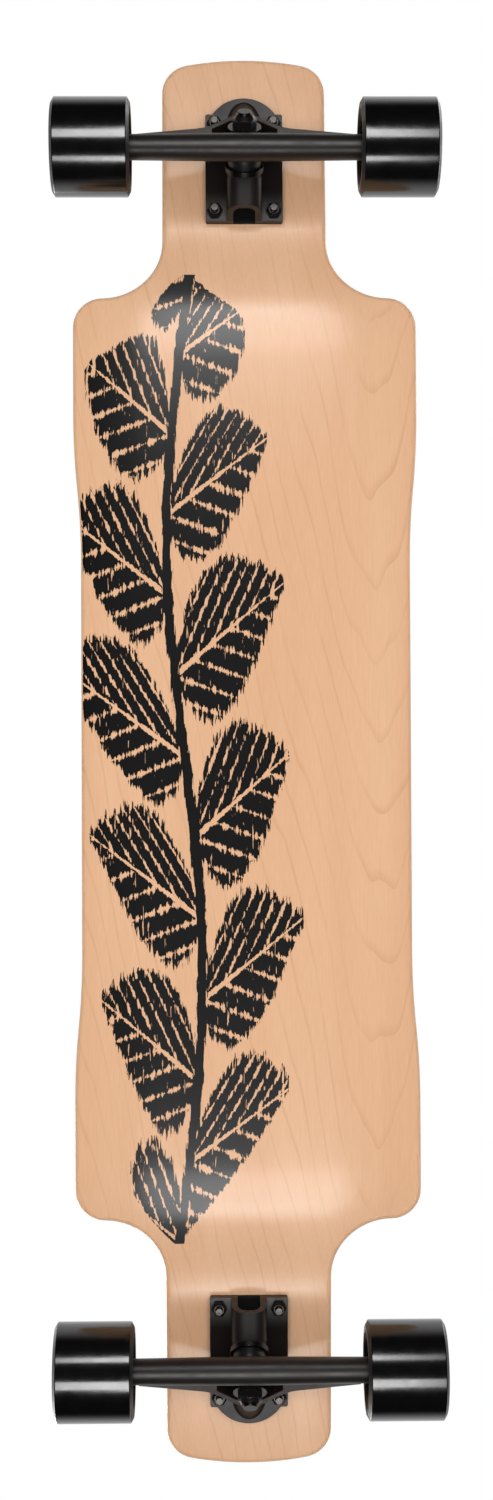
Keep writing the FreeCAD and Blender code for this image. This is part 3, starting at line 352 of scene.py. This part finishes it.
# A block-printed spray of leaves along one side of the underside, with ribs, veins and grain (millimetres)
def leafPrint(tree, spot, depth):
    leaf = dict(pitch=112, lean=0.8, width=41, reach=92, shortest=0.78, belly=0.72, narrowest=3, trim=0.8,
                stem=43, stemHalf=3.4, stemEnd=0.05, sway=12, wave=95, halfLength=340, taper=6,
                rib=1.5, ribTip=0.4, veinGap=14, veinSlant=1.1, veinHalf=0.07, grain=1.7, chip=5, fleck=0.68,
                chipOnStem=0.3, chipOnRib=0.16, chipOnVein=0.035, printDepth=0.07)
    inMm = addNode(tree, "ShaderNodeVectorMath", {0: spot, "Scale": 1 / mm}, operation="SCALE")
    place = addNode(tree, "ShaderNodeSeparateXYZ", {0: inMm})
    x, y = place.outputs["X"], place.outputs["Y"]
    phase = addNode(tree, "ShaderNodeMath", {0: y, 1: leaf["wave"]}, operation="DIVIDE")
    bend = addNode(tree, "ShaderNodeMath", {0: phase}, operation="SINE")
    stemX = addNode(tree, "ShaderNodeMath", {0: bend, 1: leaf["sway"], 2: leaf["stem"]},
                    operation="MULTIPLY_ADD")
    fromStem = addNode(tree, "ShaderNodeMath", {0: x, 1: stemX}, operation="SUBTRACT")
    away = addNode(tree, "ShaderNodeMath", {0: fromStem}, operation="ABSOLUTE")
    side = addNode(tree, "ShaderNodeMath", {0: fromStem, 1: 0.0}, operation="GREATER_THAN")

    # each leaf leans towards the nose, with the leaves of the two sides set half a pitch apart
    lifted = addNode(tree, "ShaderNodeMath", {0: away, 1: -leaf["lean"], 2: y}, operation="MULTIPLY_ADD")
    staggered = addNode(tree, "ShaderNodeMath", {0: side, 1: leaf["pitch"] / 2, 2: lifted},
                        operation="MULTIPLY_ADD")
    turns = addNode(tree, "ShaderNodeMath", {0: staggered, 1: leaf["pitch"]}, operation="DIVIDE")
    number = addNode(tree, "ShaderNodeMath", {0: turns}, operation="FLOOR")
    part = addNode(tree, "ShaderNodeMath", {0: turns}, operation="FRACT")
    offset = addNode(tree, "ShaderNodeMath", {0: part, 1: 0.5}, operation="SUBTRACT")
    square = leaf["pitch"] / math.hypot(1, leaf["lean"])
    offMm = addNode(tree, "ShaderNodeMath", {0: offset, 1: square}, operation="MULTIPLY")
    off = addNode(tree, "ShaderNodeMath", {0: offMm}, operation="ABSOLUTE")

    # a leaf's reach changes from leaf to leaf and shrinks towards both ends of the spray
    chance = addNode(tree, "ShaderNodeTexWhiteNoise", {"W": number}, noise_dimensions="1D")
    reach = addNode(tree, "ShaderNodeMapRange", {
        "Value": chance, "To Min": leaf["shortest"] * leaf["reach"], "To Max": leaf["reach"]})
    endShare = addNode(tree, "ShaderNodeMath", {0: y, 1: leaf["halfLength"]}, operation="DIVIDE")
    endPower = addNode(tree, "ShaderNodeMath", {0: endShare, 1: leaf["taper"]}, operation="POWER")
    ends = addNode(tree, "ShaderNodeMath", {0: 1.0, 1: endPower}, operation="SUBTRACT", use_clamp=True)
    length = addNode(tree, "ShaderNodeMath", {0: reach, 1: ends}, operation="MULTIPLY")
    longer = addNode(tree, "ShaderNodeMath", {0: length, 1: 1.0}, operation="MAXIMUM")  # never zero
    share = addNode(tree, "ShaderNodeMath", {0: away, 1: longer}, operation="DIVIDE", use_clamp=True)
    swell = addNode(tree, "ShaderNodeMath", {0: share, 1: leaf["belly"]}, operation="POWER")
    halfTurn = addNode(tree, "ShaderNodeMath", {0: swell, 1: math.pi}, operation="MULTIPLY")
    bulge = addNode(tree, "ShaderNodeMath", {0: halfTurn}, operation="SINE")
    width = addNode(tree, "ShaderNodeMath", {0: bulge, 1: leaf["width"]}, operation="MULTIPLY")
    inside = addNode(tree, "ShaderNodeMath", {0: width, 1: off}, operation="SUBTRACT")

    # cut marks: rib, slanted veins, and the grain of the block along the board
    grain = addNode(tree, "ShaderNodeMapping", {"Vector": spot, "Scale": (1, 0.09, 1)})
    chips = addNode(tree, "ShaderNodeTexNoise", {
        "Vector": grain, "Scale": perLength(leaf["grain"] * mm), "Detail": 3.0, "Roughness": 0.6})
    chipped = addNode(tree, "ShaderNodeMapRange", {
        "Value": chips, "From Min": 0.3, "From Max": 0.7, "To Min": -leaf["chip"], "To Max": leaf["chip"]})
    ragged = addNode(tree, "ShaderNodeMath", {0: inside, 1: chipped}, operation="ADD")
    pressed = addNode(tree, "ShaderNodeMath", {0: ragged, 1: leaf["trim"]}, operation="GREATER_THAN")
    wide = addNode(tree, "ShaderNodeMath", {0: width, 1: leaf["narrowest"]}, operation="GREATER_THAN")
    ribWidth = addNode(tree, "ShaderNodeMath", {0: share, 1: -leaf["rib"], 2: leaf["rib"] + leaf["ribTip"]},
                       operation="MULTIPLY_ADD")
    ribEdge = addNode(tree, "ShaderNodeMath", {0: chipped, 1: leaf["chipOnRib"], 2: off},
                      operation="MULTIPLY_ADD")
    offRib = addNode(tree, "ShaderNodeMath", {0: ribEdge, 1: ribWidth}, operation="GREATER_THAN")
    slant = addNode(tree, "ShaderNodeMath", {0: off, 1: -leaf["veinSlant"], 2: away},
                    operation="MULTIPLY_ADD")
    veinTurn = addNode(tree, "ShaderNodeMath", {0: slant, 1: leaf["veinGap"]}, operation="DIVIDE")
    veinPart = addNode(tree, "ShaderNodeMath", {0: veinTurn, 1: 0.5}, operation="PINGPONG")
    veinCut = addNode(tree, "ShaderNodeMath", {0: chipped, 1: leaf["chipOnVein"], 2: veinPart},
                      operation="MULTIPLY_ADD")
    offVein = addNode(tree, "ShaderNodeMath", {0: veinCut, 1: leaf["veinHalf"]}, operation="GREATER_THAN")
    flecks = addNode(tree, "ShaderNodeMath", {0: chips, 1: leaf["fleck"]}, operation="LESS_THAN")
    ink = pressed
    for kept in (wide, offRib, offVein, flecks):
        ink = addNode(tree, "ShaderNodeMath", {0: ink, 1: kept}, operation="MULTIPLY")

    # the stem joins the leaves, and only the face and the start of the edge take ink
    stemEdge = addNode(tree, "ShaderNodeMath", {0: chipped, 1: leaf["chipOnStem"], 2: leaf["stemHalf"]},
                       operation="MULTIPLY_ADD")
    onStem = addNode(tree, "ShaderNodeMath", {0: away, 1: stemEdge}, operation="LESS_THAN")
    ink = addNode(tree, "ShaderNodeMath", {0: ink, 1: onStem}, operation="MAXIMUM")
    inSpray = addNode(tree, "ShaderNodeMath", {0: ends, 1: leaf["stemEnd"]}, operation="GREATER_THAN")
    under = addNode(tree, "ShaderNodeMath", {0: depth, 1: leaf["printDepth"]}, operation="LESS_THAN")
    for kept in (inSpray, under):
        ink = addNode(tree, "ShaderNodeMath", {0: ink, 1: kept}, operation="MULTIPLY")
    return ink


# Silicon carbide grit on black backing: a dull sparkle, with grains drawn coarser than real so that they show
def gritTape():
    grit = dict(pale="1e1e1f", dark="070707", size=0.8 * mm, depth=0.2 * mm)
    material, tree, surface, spot = newMaterial("silicon carbide grip tape")
    grains = addNode(tree, "ShaderNodeTexVoronoi", {"Vector": spot, "Scale": perLength(grit["size"])})
    shade = addNode(tree, "ShaderNodeMix", {
        0: grains.outputs["Distance"], 6: linear(grit["pale"]), 7: linear(grit["dark"])}, data_type="RGBA")
    bump = addNode(tree, "ShaderNodeBump", {
        "Height": grains.outputs["Distance"], "Strength": 0.7, "Distance": grit["depth"]}, invert=True)
    feed(tree, surface, {"Base Color": shade.outputs[2], "Normal": bump, "Roughness": 0.75})
    return material


powderCoat = blackPowderCoat()
blackSteel = plainMetal("black oxide steel", "2e2b2a", rough=0.24, grain=0.8 * mm, metallic=0.7)
zincSteel = plainMetal("zinc plated steel", "b4b4b2", rough=0.28, grain=0.6 * mm)
darkZinc = plainMetal("black zinc plated steel", "474442", rough=0.3, grain=0.6 * mm)
bearingSteel = plainMetal("ground bearing steel", "c3c4c6", rough=0.18, grain=0.5 * mm)
wheelUrethane = polishedUrethane()
bushingUrethane = mouldedSkin("matte cast urethane", "131212", rough=0.4)
riserRubber = mouldedSkin("moulded riser rubber", "0b0a0a", rough=0.7)
corePlastic = mouldedSkin("moulded nylon", "121212", rough=0.5)
cagePlastic = mouldedSkin("natural nylon", "c9bda0", rough=0.5)
maple = lacqueredMaple()
gripTape = gritTape()
print("materials made")

for end in ends:
    finishNodes(powderCoat, f"{end}_baseplate", f"{end}_hanger")
    finishNodes(blackSteel, f"{end}_mounting_nuts", f"{end}_kingpin_nut", f"{end}_axle_nuts")
    finishNodes(darkZinc, f"{end}_mounting_screws", f"{end}_kingpin", f"{end}_boardside_washer",
                f"{end}_roadside_washer")
    finishNodes(riserRubber, f"{end}_riser_pad")
    finishNodes(zincSteel, f"{end}_axle", f"{end}_speed_washers", f"{end}_bearing_spacers")
    finishNodes(bearingSteel, f"{end}_bearing_inner_rings")
for wheel in wheels:
    finishNodes(corePlastic, f"{wheel}_core")
    finishNodes(bearingSteel, f"{wheel}_bearing_outer_rings", f"{wheel}_bearing_shields",
                f"{wheel}_bearing_balls")
    finishNodes(cagePlastic, f"{wheel}_bearing_cages")
print("nodes finished")


# Deck and grip tape: one outline, pressed to a sheet with a dropped middle and raised rails (millimetres)

deck = dict(halfLength=495, tipAngle=10, tipFlat=2, neck=115, cornerRadius=21, neckEnd=321, neckRadius=41,
            width=240, shoulderRadius=20, waist=229.5, railStart=215, railEnd=160, railEase=0.45,
            thickness=11, under=75.5417)
sheet = dict(lowBend=189.83, lowRadius=200, rise=12.3, highBend=133, highRadius=250, tilt=6, lane=60,
             concave=300)
edge = dict(under=3.2, top=2.6, steps=6, arcStep=4, arcTurn=0.16, lineStep=7, spacing=8, clear=0.45)
bolts = dict(middle=413, spread=20.65, span=31.75, hole=2.6, seat=4.95, seatDepth=2.73, sides=28)
tape = dict(thickness=0.8, inset=2.9, underRounding=0.05, topRounding=0.3, hole=5.1)
neckTilt = math.radians(sheet["tilt"])


def outlineCorners():
    tip = math.radians(deck["tipAngle"])
    half, side, rail = deck["neck"] / 2, deck["width"] / 2, (deck["width"] - deck["waist"]) / 2
    cornerRun = deck["cornerRadius"] * math.tan(math.radians(45) - tip / 2) * math.cos(tip)
    tipRadius = (half - deck["tipFlat"] - cornerRun) / math.sin(tip)
    apex = deck["halfLength"] + tipRadius * (1 / math.cos(tip) - 1)
    run = deck["railStart"] - deck["railEnd"]
    railRadius = deck["railEase"] * math.hypot(rail, run) / math.tan(math.atan2(rail, run) / 2)
    nose = [(half, apex - half * math.tan(tip), deck["cornerRadius"]),
            (half, deck["neckEnd"], deck["neckRadius"]), (side, deck["neckEnd"], deck["shoulderRadius"]),
            (side, deck["railStart"], railRadius), (side - rail, deck["railEnd"], railRadius)]
    right = [(0, apex, tipRadius)] + nose
    right += [(x, -y, radius) for x, y, radius in reversed(nose)] + [(0, -apex, tipRadius)]
    left = [(-x, y, radius) for x, y, radius in reversed(right[1:-1])]
    return list(reversed(right + left))  # anticlockwise


# Points along a rounded outline, with the outward direction at each
def roundedLoop(corners):
    bends = []
    for i, (x, y, radius) in enumerate(corners):
        here = Vector((x, y))
        back = (Vector(corners[i - 1][:2]) - here).normalized()
        ahead = (Vector(corners[(i + 1) % len(corners)][:2]) - here).normalized()
        half = back.angle(ahead) / 2
        centre = here + (back + ahead).normalized() * radius / math.sin(half)
        bends.append((here + back * radius / math.tan(half), here + ahead * radius / math.tan(half), centre))
    points, outward = [], []
    for i, (entry, leave, centre) in enumerate(bends):
        arm, last = entry - centre, leave - centre
        turn = math.atan2(arm.cross(last), arm.dot(last))
        step = min(edge["arcStep"], edge["arcTurn"] * arm.length)
        steps = max(2, round(abs(turn) * arm.length / step))
        for k in range(steps + 1):
            spoke = Matrix.Rotation(turn * k / steps, 2) @ arm
            points.append(centre + spoke)
            outward.append(spoke.normalized() * math.copysign(1, turn))
        line = bends[(i + 1) % len(bends)][0] - leave
        steps = max(1, round(line.length / edge["lineStep"]))
        for k in range(1, steps):
            points.append(leave + line * k / steps)
            outward.append(Vector((line.y, -line.x)).normalized())
    return np.array(points), np.array(outward)


# Height of the pressed sheet at a distance above its underside: flat, lower bend, ramp, upper bend, neck
def sheetHeight(points, above):
    across, along = np.abs(points[:, 0]), np.abs(points[:, 1])
    rise = math.radians(sheet["rise"])
    half, turn = rise / 2, (rise - neckTilt) / 2
    lowY = deck["halfLength"] - sheet["lowBend"] - above * math.tan(half)
    highY = deck["halfLength"] - sheet["highBend"] - above * math.sin(rise - turn) / math.cos(turn)
    climb = (sheet["lowBend"] - sheet["highBend"]) * math.tan(rise)
    highZ = climb + above * math.cos(rise - turn) / math.cos(turn)
    lowRadius, highRadius = sheet["lowRadius"] - above, sheet["highRadius"] + above
    lowStart = lowY - lowRadius * math.tan(half)
    cut = highRadius * math.tan(turn)
    highStart = highY - cut * math.cos(rise)
    hubY = highStart + highRadius * math.sin(rise)
    hubZ = highZ - cut * math.sin(rise) - highRadius * math.cos(rise)
    lowArc = above + lowRadius - np.sqrt(np.maximum(lowRadius ** 2 - (along - lowStart) ** 2, 0))
    ramp = above + (along - lowY) * math.tan(rise)
    highArc = hubZ + np.sqrt(np.maximum(highRadius ** 2 - (along - hubY) ** 2, 0))
    neck = highZ + (along - highY) * math.tan(neckTilt)
    height = np.where(along < lowStart, above, lowArc)
    height = np.where(along > lowStart + lowRadius * math.sin(rise), ramp, height)
    height = np.where(along > highStart, highArc, height)
    height = np.where(along > highY + cut * math.cos(neckTilt), neck, height)
    beyond = np.maximum(across - sheet["lane"], 0)
    return deck["under"] + height + sheet["concave"] - np.sqrt(sheet["concave"] ** 2 - beyond ** 2)


# Middles of the bolt holes at a distance above the underside
def boltCentres(above):
    back = above * math.sin(neckTilt)
    rows = [bolts["middle"] + along * bolts["span"] * math.cos(neckTilt) - back for along in (1, -1)]
    return [(across * bolts["spread"], end * y) for end in (1, -1) for y in rows for across in (1, -1)]


def ringPoints(centre, radius):
    angles = np.arange(bolts["sides"]) * 2 * math.pi / bolts["sides"]
    flat = math.cos(neckTilt)
    return np.column_stack((centre[0] + radius * np.cos(angles), centre[1] + radius * flat * np.sin(angles)))


# Triangles over an outline with holes, on a regular grid: the points keep the order outline, holes, grid
def fillOutline(loop, rings):
    reach = np.abs(loop).max(axis=0)
    rows = [np.arange(-limit, limit, edge["spacing"]) for limit in reach]
    grid = np.array([(x, y) for y in rows[1] for x in rows[0]])
    ahead = np.roll(loop, -1, axis=0)
    low, high = np.minimum(loop[:, 1], ahead[:, 1]), np.maximum(loop[:, 1], ahead[:, 1])
    run, y = ahead - loop, grid[:, 1, None]
    crossing = loop[:, 0] + (y - loop[:, 1]) * run[:, 0] / np.where(high > low, run[:, 1], 1)
    hits = (y >= low) & (y < high) & (crossing > grid[:, 0, None])
    grid = grid[hits.sum(axis=1) % 2 == 1]
    gap = np.linalg.norm(grid[:, None] - np.vstack([loop] + rings)[None], axis=2).min(axis=1)
    grid = grid[gap > edge["clear"] * edge["spacing"]]
    for ring in rings:
        fromHole = np.linalg.norm(grid - ring.mean(axis=0), axis=1)
        grid = grid[fromHole > np.ptp(ring[:, 0]) / 2]
    points = np.vstack([loop] + rings + [grid])
    edges, spans, start = [], [], 0
    for ring in [loop] + rings:
        edges += [(start + k, start + (k + 1) % len(ring)) for k in range(len(ring))]
        spans.append(range(start, start + len(ring)))
        start += len(ring)
    insideOnly, tolerance = 1, 1e-6
    spots = [Vector(point) for point in points]
    faces, origins = delaunay_2d_cdt(spots, edges, [], insideOnly, tolerance)[2:4]
    source = [origin[0] for origin in origins]
    triangles = []
    for face in faces:
        corner = [source[k] for k in face]
        if not any(all(k in span for k in corner) for span in spans[1:]):  # no triangle inside a hole
            triangles.append(corner)
    return points, triangles


# A closed sheet between two heights: rows round its rim, then both faces, then the walls of the holes, which
# are given as radius and height from the lower face up
def pressSheet(name, low, high, inset, rounding, holes, material):
    loop, outward = roundedLoop(outlineCorners())
    quarter = [k / edge["steps"] * math.pi / 2 for k in range(edge["steps"] + 1)]
    rim = [(rounding[0] * (1 - math.sin(a)), low + rounding[0] * (1 - math.cos(a))) for a in quarter]
    rim += [(rounding[1] * (1 - math.cos(a)), high - rounding[1] * (1 - math.sin(a))) for a in quarter]
    count = len(loop)
    verts, heights, faces = [], [], []

    def addRow(points, above):
        share = (above - low) / (high - low)
        z = (1 - share) * sheetHeight(points, low) + share * sheetHeight(points, high)
        start = len(verts)
        verts.extend(np.column_stack((points, z)) * mm)
        heights.extend([share] * len(points))
        return start

    def join(first, second, size):
        for k in range(size):
            after = (k + 1) % size
            faces.append((first + k, first + after, second + after, second + k))

    rimStarts = [addRow(loop - outward * (inset + back), above) for back, above in rim]
    for first, second in zip(rimStarts, rimStarts[1:]):
        join(first, second, count)
    holeStarts = {}
    for above, start, turnedOver in ((low, rimStarts[0], True), (high, rimStarts[-1], False)):
        radius = holes[0][0] if turnedOver else holes[-1][0]
        rings = [ringPoints(centre, radius) for centre in boltCentres(above)]
        edgeLoop = np.array([vert[:2] for vert in verts[start:start + count]]) / mm
        points, triangles = fillOutline(edgeLoop, rings)
        rest = addRow(points[count:], above) - count
        holeStarts[above] = rest + count
        for corner in triangles:
            spots = [start + k if k < count else rest + k for k in corner]
            faces.append(spots[::-1] if turnedOver else spots)
    sides = bolts["sides"]
    for number in range(len(boltCentres(low))):
        rows = [holeStarts[low] + number * sides]
        for radius, above in holes[1:-1]:
            rows.append(addRow(ringPoints(boltCentres(above)[number], radius), above))
        rows.append(holeStarts[high] + number * sides)
        for first, second in zip(rows, rows[1:]):
            join(second, first, sides)
    mesh = bpy.data.meshes.new(name)
    mesh.from_pydata([tuple(vert) for vert in verts], [], [tuple(face) for face in faces])
    mesh.attributes.new("plyDepth", "FLOAT", "POINT").data.foreach_set("value", heights)
    mesh.shade_smooth()
    return newObject(*bake(newObject(name, mesh, material)), material)


top = deck["thickness"]
deckPiece = pressSheet("pressed_deck", 0, top, 0, (edge["under"], edge["top"]),
                       [(bolts["hole"], 0), (bolts["hole"], top - bolts["seatDepth"]), (bolts["seat"], top)],
                       maple)
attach(deckPiece, "board")
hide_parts("deck")
tapeTop = top + tape["thickness"]
tapePiece = pressSheet("grip_sheet", top, tapeTop, tape["inset"],
                       (tape["underRounding"], tape["topRounding"]),
                       [(tape["hole"], top), (tape["hole"], tapeTop)], gripTape)
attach(tapePiece, "board")
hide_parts("grip_tape")
print("deck and grip tape pressed")


# Middle of a truck's ring, and the directions up its pivot axis and up its kingpin
def truckAxes(end):
    steer = joints[f"{end}_steer"]
    pivot = Vector(steer["axis"]) * math.copysign(1, steer["axis"][2])
    kingpin = Vector((0, -pivot.z * math.copysign(1, pivot.y), abs(pivot.y)))
    return Vector(steer["pos_m"]), pivot, kingpin


# Turn that lays an upright piece along a direction
def leanTo(direction):
    return (math.atan2(-direction.y, direction.z), 0, 0)


# Turned urethane: tyres, bushings and pivot cups, swept round a ring inside each section (millimetres)

turned = turnedTree()


def turnPiece(name, shape, section, material, turn, place):
    ring = shape["ring"] * mm
    return growPiece(name, turned, sectionMesh(section, ring), Segments=shape["segments"],
                     Steps=shape["steps"], Ring=ring, Turn=turn, Place=place, Material=material)


tyre = dict(section=[(19.5, -14.5, 0.3), (26.5, -26.5, 0.8), (29.5, -26.5, 0.9), (33, -24.5, 0.9),
                     (33, 24.5, 0.9), (29.5, 26.5, 0.9), (26.5, 26.5, 0.8), (19.5, 14.5, 0.3)],
            ring=26, segments=160, steps=6)
for wheel in wheels:
    piece = turnPiece(f"{wheel}_cast_tyre", tyre, tyre["section"], wheelUrethane, (0, math.pi / 2, 0),
                      joints[f"{wheel}_spin"]["pos_m"])
    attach(piece, f"{wheel}_wheel")
    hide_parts(f"{wheel}_tyre")

# the outer corners of a bushing run from the hanger's ring to its washer
bushing = dict(boardside=[(11.2, 2.5, 0.9), (11.5, 8.5, 6), (11.2, 14.5, 0.9)],
               roadside=[(11.3, -2.5, 0.9), (9, -12.5, 1.2)],
               bore=4.85, boreRounding=0.4, ring=8, segments=72, steps=5)
pivotCup = dict(section=[(5.91, 29.2, 0.15), (9, 29.2, 0.3), (9, 30, 0.2), (7.05, 30, 0.15),
                         (5.36, 38.45, 0.8), (0.3, 38.45, 0.1), (0.3, 37.15, 0.1), (4.32, 37.15, 0.5)],
                ring=6, segments=64, steps=4)
for end in ends:
    ring, pivot, kingpin = truckAxes(end)
    for side in ("boardside", "roadside"):
        outer = sorted(bushing[side], key=lambda corner: corner[1])
        first, last = [(bushing["bore"], corner[1], bushing["boreRounding"])
                       for corner in (outer[0], outer[-1])]
        piece = turnPiece(f"{end}_{side}_cast_bushing", bushing, [first] + outer + [last], bushingUrethane,
                          leanTo(kingpin), ring)
        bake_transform(piece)
        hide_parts(f"{end}_{side}_bushing")
    piece = turnPiece(f"{end}_moulded_pivot_cup", pivotCup, pivotCup["section"], bushingUrethane,
                      leanTo(pivot), ring)
    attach(piece, "board")
    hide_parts(f"{end}_pivot_cup")
print("wheels, bushings and pivot cups turned")


# Threads on the rod ends that show past their nuts: start is measured from the deck's underside, the ring's
# middle and the middle of the board (millimetres)

thread = threadTree()


def windThread(name, shape, starts, material, turn):
    return growPiece(name, thread, pointMesh(starts), Radius=shape["radius"] * mm, Pitch=shape["pitch"] * mm,
                     Turns=shape["turns"], Ridge=shape["ridge"] * mm, Turn=turn, Material=material)


screwThread = dict(radius=2.4, pitch=0.8, turns=4.4, ridge=0.22, start=14.2)
kingpinThread = dict(radius=4.75, pitch=1.06, turns=1.6, ridge=0.25, start=25.4)
axleThread = dict(radius=3.97, pitch=1.06, turns=1.9, ridge=0.25, start=123.7)
for end, sign in zip(ends, (1, -1)):
    below = -screwThread["start"]
    tips = np.array([centre for centre in boltCentres(below) if centre[1] * sign > 0])
    tips = np.column_stack((tips, sheetHeight(tips, below))) * mm
    piece = windThread(f"{end}_screw_threads", screwThread, tips, darkZinc, (sign * neckTilt, 0, 0))
    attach(piece, "board")

    ring, pivot, kingpin = truckAxes(end)
    tip = ring - kingpin * kingpinThread["start"] * mm
    piece = windThread(f"{end}_kingpin_thread", kingpinThread, [tip], darkZinc, leanTo(kingpin))
    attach(piece, "board")

    for hand, side in (("left", -1), ("right", 1)):
        hub = joints[f"{end}_{hand}_spin"]["pos_m"]
        start = Vector((side * axleThread["start"] * mm, hub[1], hub[2]))
        piece = windThread(f"{end}_{hand}_axle_thread", axleThread, [start], zincSteel,
                           (0, side * math.pi / 2, 0))
        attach(piece, f"{end}_truck")
print("threads wound")


# Stage: a pale floor that shows from above only, white surroundings, and area lights (metres and watts)

stage = dict(floorSize=5, floorFull=0.75, floorEnd=2.3, floorColour="e9e8e6", skyLow=0.38, skyHigh=0.62,
             whiteFrom=0.6)


def paleFloor():  # seen by the camera from above only, and faded out by distance
    material, tree, surface, spot = newMaterial("pale studio floor")
    feed(tree, surface, {"Base Color": linear(stage["floorColour"]), "Roughness": 0.9})
    path = addNode(tree, "ShaderNodeLightPath").outputs["Is Camera Ray"]
    below = addNode(tree, "ShaderNodeNewGeometry").outputs["Backfacing"]
    seen = addNode(tree, "ShaderNodeMath", {0: path, 1: below}, operation="SUBTRACT", use_clamp=True)
    away = addNode(tree, "ShaderNodeVectorMath", {0: spot}, operation="LENGTH").outputs["Value"]
    near = addNode(tree, "ShaderNodeMapRange", {
        "Value": away, "From Min": stage["floorFull"], "From Max": stage["floorEnd"], "To Min": 1.0,
        "To Max": 0.0}, interpolation_type="SMOOTHSTEP")
    shown = addNode(tree, "ShaderNodeMath", {0: seen, 1: near}, operation="MULTIPLY")
    clear = addNode(tree, "ShaderNodeBsdfTransparent")
    mixed = addNode(tree, "ShaderNodeMixShader", {0: shown, 1: clear, 2: surface})
    feed(tree, tree.nodes["Material Output"], {"Surface": mixed})
    half = stage["floorSize"] / 2
    mesh = bpy.data.meshes.new("floor")
    corners = [(-half, -half, 0), (half, -half, 0), (half, half, 0), (-half, half, 0)]
    mesh.from_pydata(corners, [], [(0, 1, 2, 3)])
    newObject("floor", mesh, material)


# White to the camera. Reflections see white above and dark below, where only the strips shine
def whiteWorld():
    world = bpy.data.worlds.new("white studio")
    bpy.context.scene.world = world
    world.use_nodes = True
    tree = world.node_tree
    tree.nodes.clear()
    path = addNode(tree, "ShaderNodeLightPath").outputs
    facing = addNode(tree, "ShaderNodeTexCoord").outputs["Generated"]
    height = addNode(tree, "ShaderNodeSeparateXYZ", {0: facing}).outputs["Z"]
    ambient = addNode(tree, "ShaderNodeMapRange", {
        "Value": height, "From Min": -1.0, "To Min": stage["skyLow"], "To Max": stage["skyHigh"]})
    backdrop = addNode(tree, "ShaderNodeMapRange", {"Value": height, "From Max": stage["whiteFrom"]},
                       interpolation_type="SMOOTHSTEP")
    mirrored = addNode(tree, "ShaderNodeMath", {0: path["Is Glossy Ray"], 1: path["Is Transmission Ray"]},
                       operation="MAXIMUM")
    around = addNode(tree, "ShaderNodeMix", {0: mirrored, 2: ambient, 3: backdrop})
    strength = addNode(tree, "ShaderNodeMix", {0: path["Is Camera Ray"], 2: around, 3: 1.0})
    shine = addNode(tree, "ShaderNodeBackground", {"Color": (1, 1, 1, 1), "Strength": strength})
    addNode(tree, "ShaderNodeOutputWorld", {"Surface": shine})


def softbox(name, spot, aim, size, watts, **rays):
    lamp = bpy.data.lights.new(name, "AREA")
    lamp.shape = "RECTANGLE"
    lamp.size, lamp.size_y = size
    lamp.energy = watts
    holder = bpy.data.objects.new(name, lamp)
    bpy.context.scene.collection.objects.link(holder)
    holder.location = spot
    holder.rotation_euler = (Vector(aim) - Vector(spot)).to_track_quat("-Z", "Y").to_euler()
    for ray, seen in rays.items():
        setattr(holder, ray, seen)


# The strips give the shine, and the fills past the ends and beside the camera give the light
endLights = {
    "under strip": dict(spot=(0, 0.765, -1.25), size=(0.5, 0.43), watts=8, visible_diffuse=False),
    "end strip": dict(spot=(-0.015, 1.04, -1.25), size=(0.26, 0.16), watts=3, visible_diffuse=False),
    "end fill": dict(spot=(0, 1.0, -1.25), size=(0.5, 0.3), watts=3.4, visible_glossy=False)}
sideFill = dict(spot=(0.45, 0, -1.39), aim=(0, 0, 0.09), size=(0.5, 0.5), watts=5.6, visible_glossy=False)
topLights = {
    "top key": dict(spot=(1.2, -1.3, 2.0), aim=(0, 0, 0), size=(1.4, 1.4), watts=42),
    "top fill": dict(spot=(-1.6, 1.2, 1.6), aim=(0, 0, 0), size=(1.6, 1.6), watts=24)}
paleFloor()
whiteWorld()
for side in (1, -1):
    for name, light in endLights.items():
        x, y, z = light["spot"]
        softbox(f"{name} {side}", **dict(light, spot=(x, side * y, z), aim=(x, side * y, 0)))
    x, y, z = sideFill["spot"]
    softbox(f"side fill {side}", **dict(sideFill, spot=(side * x, y, z)))
for name, light in topLights.items():
    softbox(name, **light)

# Camera: under the board, looking up with the nose at the top of the picture
view = dict(spot=(0.022015, -0.021103, -1.38996), pitch=0.01765, yaw=-0.01494, roll=-0.00405,
            focalPixels=2116.4, pixels=1500, sensor=36)
cameraData = bpy.data.cameras.new("camera")
cameraData.sensor_width = view["sensor"]
cameraData.lens = view["focalPixels"] * view["sensor"] / view["pixels"]
camera = bpy.data.objects.new("camera", cameraData)
bpy.context.scene.collection.objects.link(camera)
facing = (Matrix.Rotation(math.pi, 4, "Y") @ Matrix.Rotation(view["pitch"], 4, "X")
          @ Matrix.Rotation(view["yaw"], 4, "Y") @ Matrix.Rotation(view["roll"], 4, "Z"))
camera.matrix_world = Matrix.Translation(view["spot"]) @ facing
bpy.context.scene.camera = camera
bpy.context.scene.view_settings.view_transform = "Standard"
print("stage set")
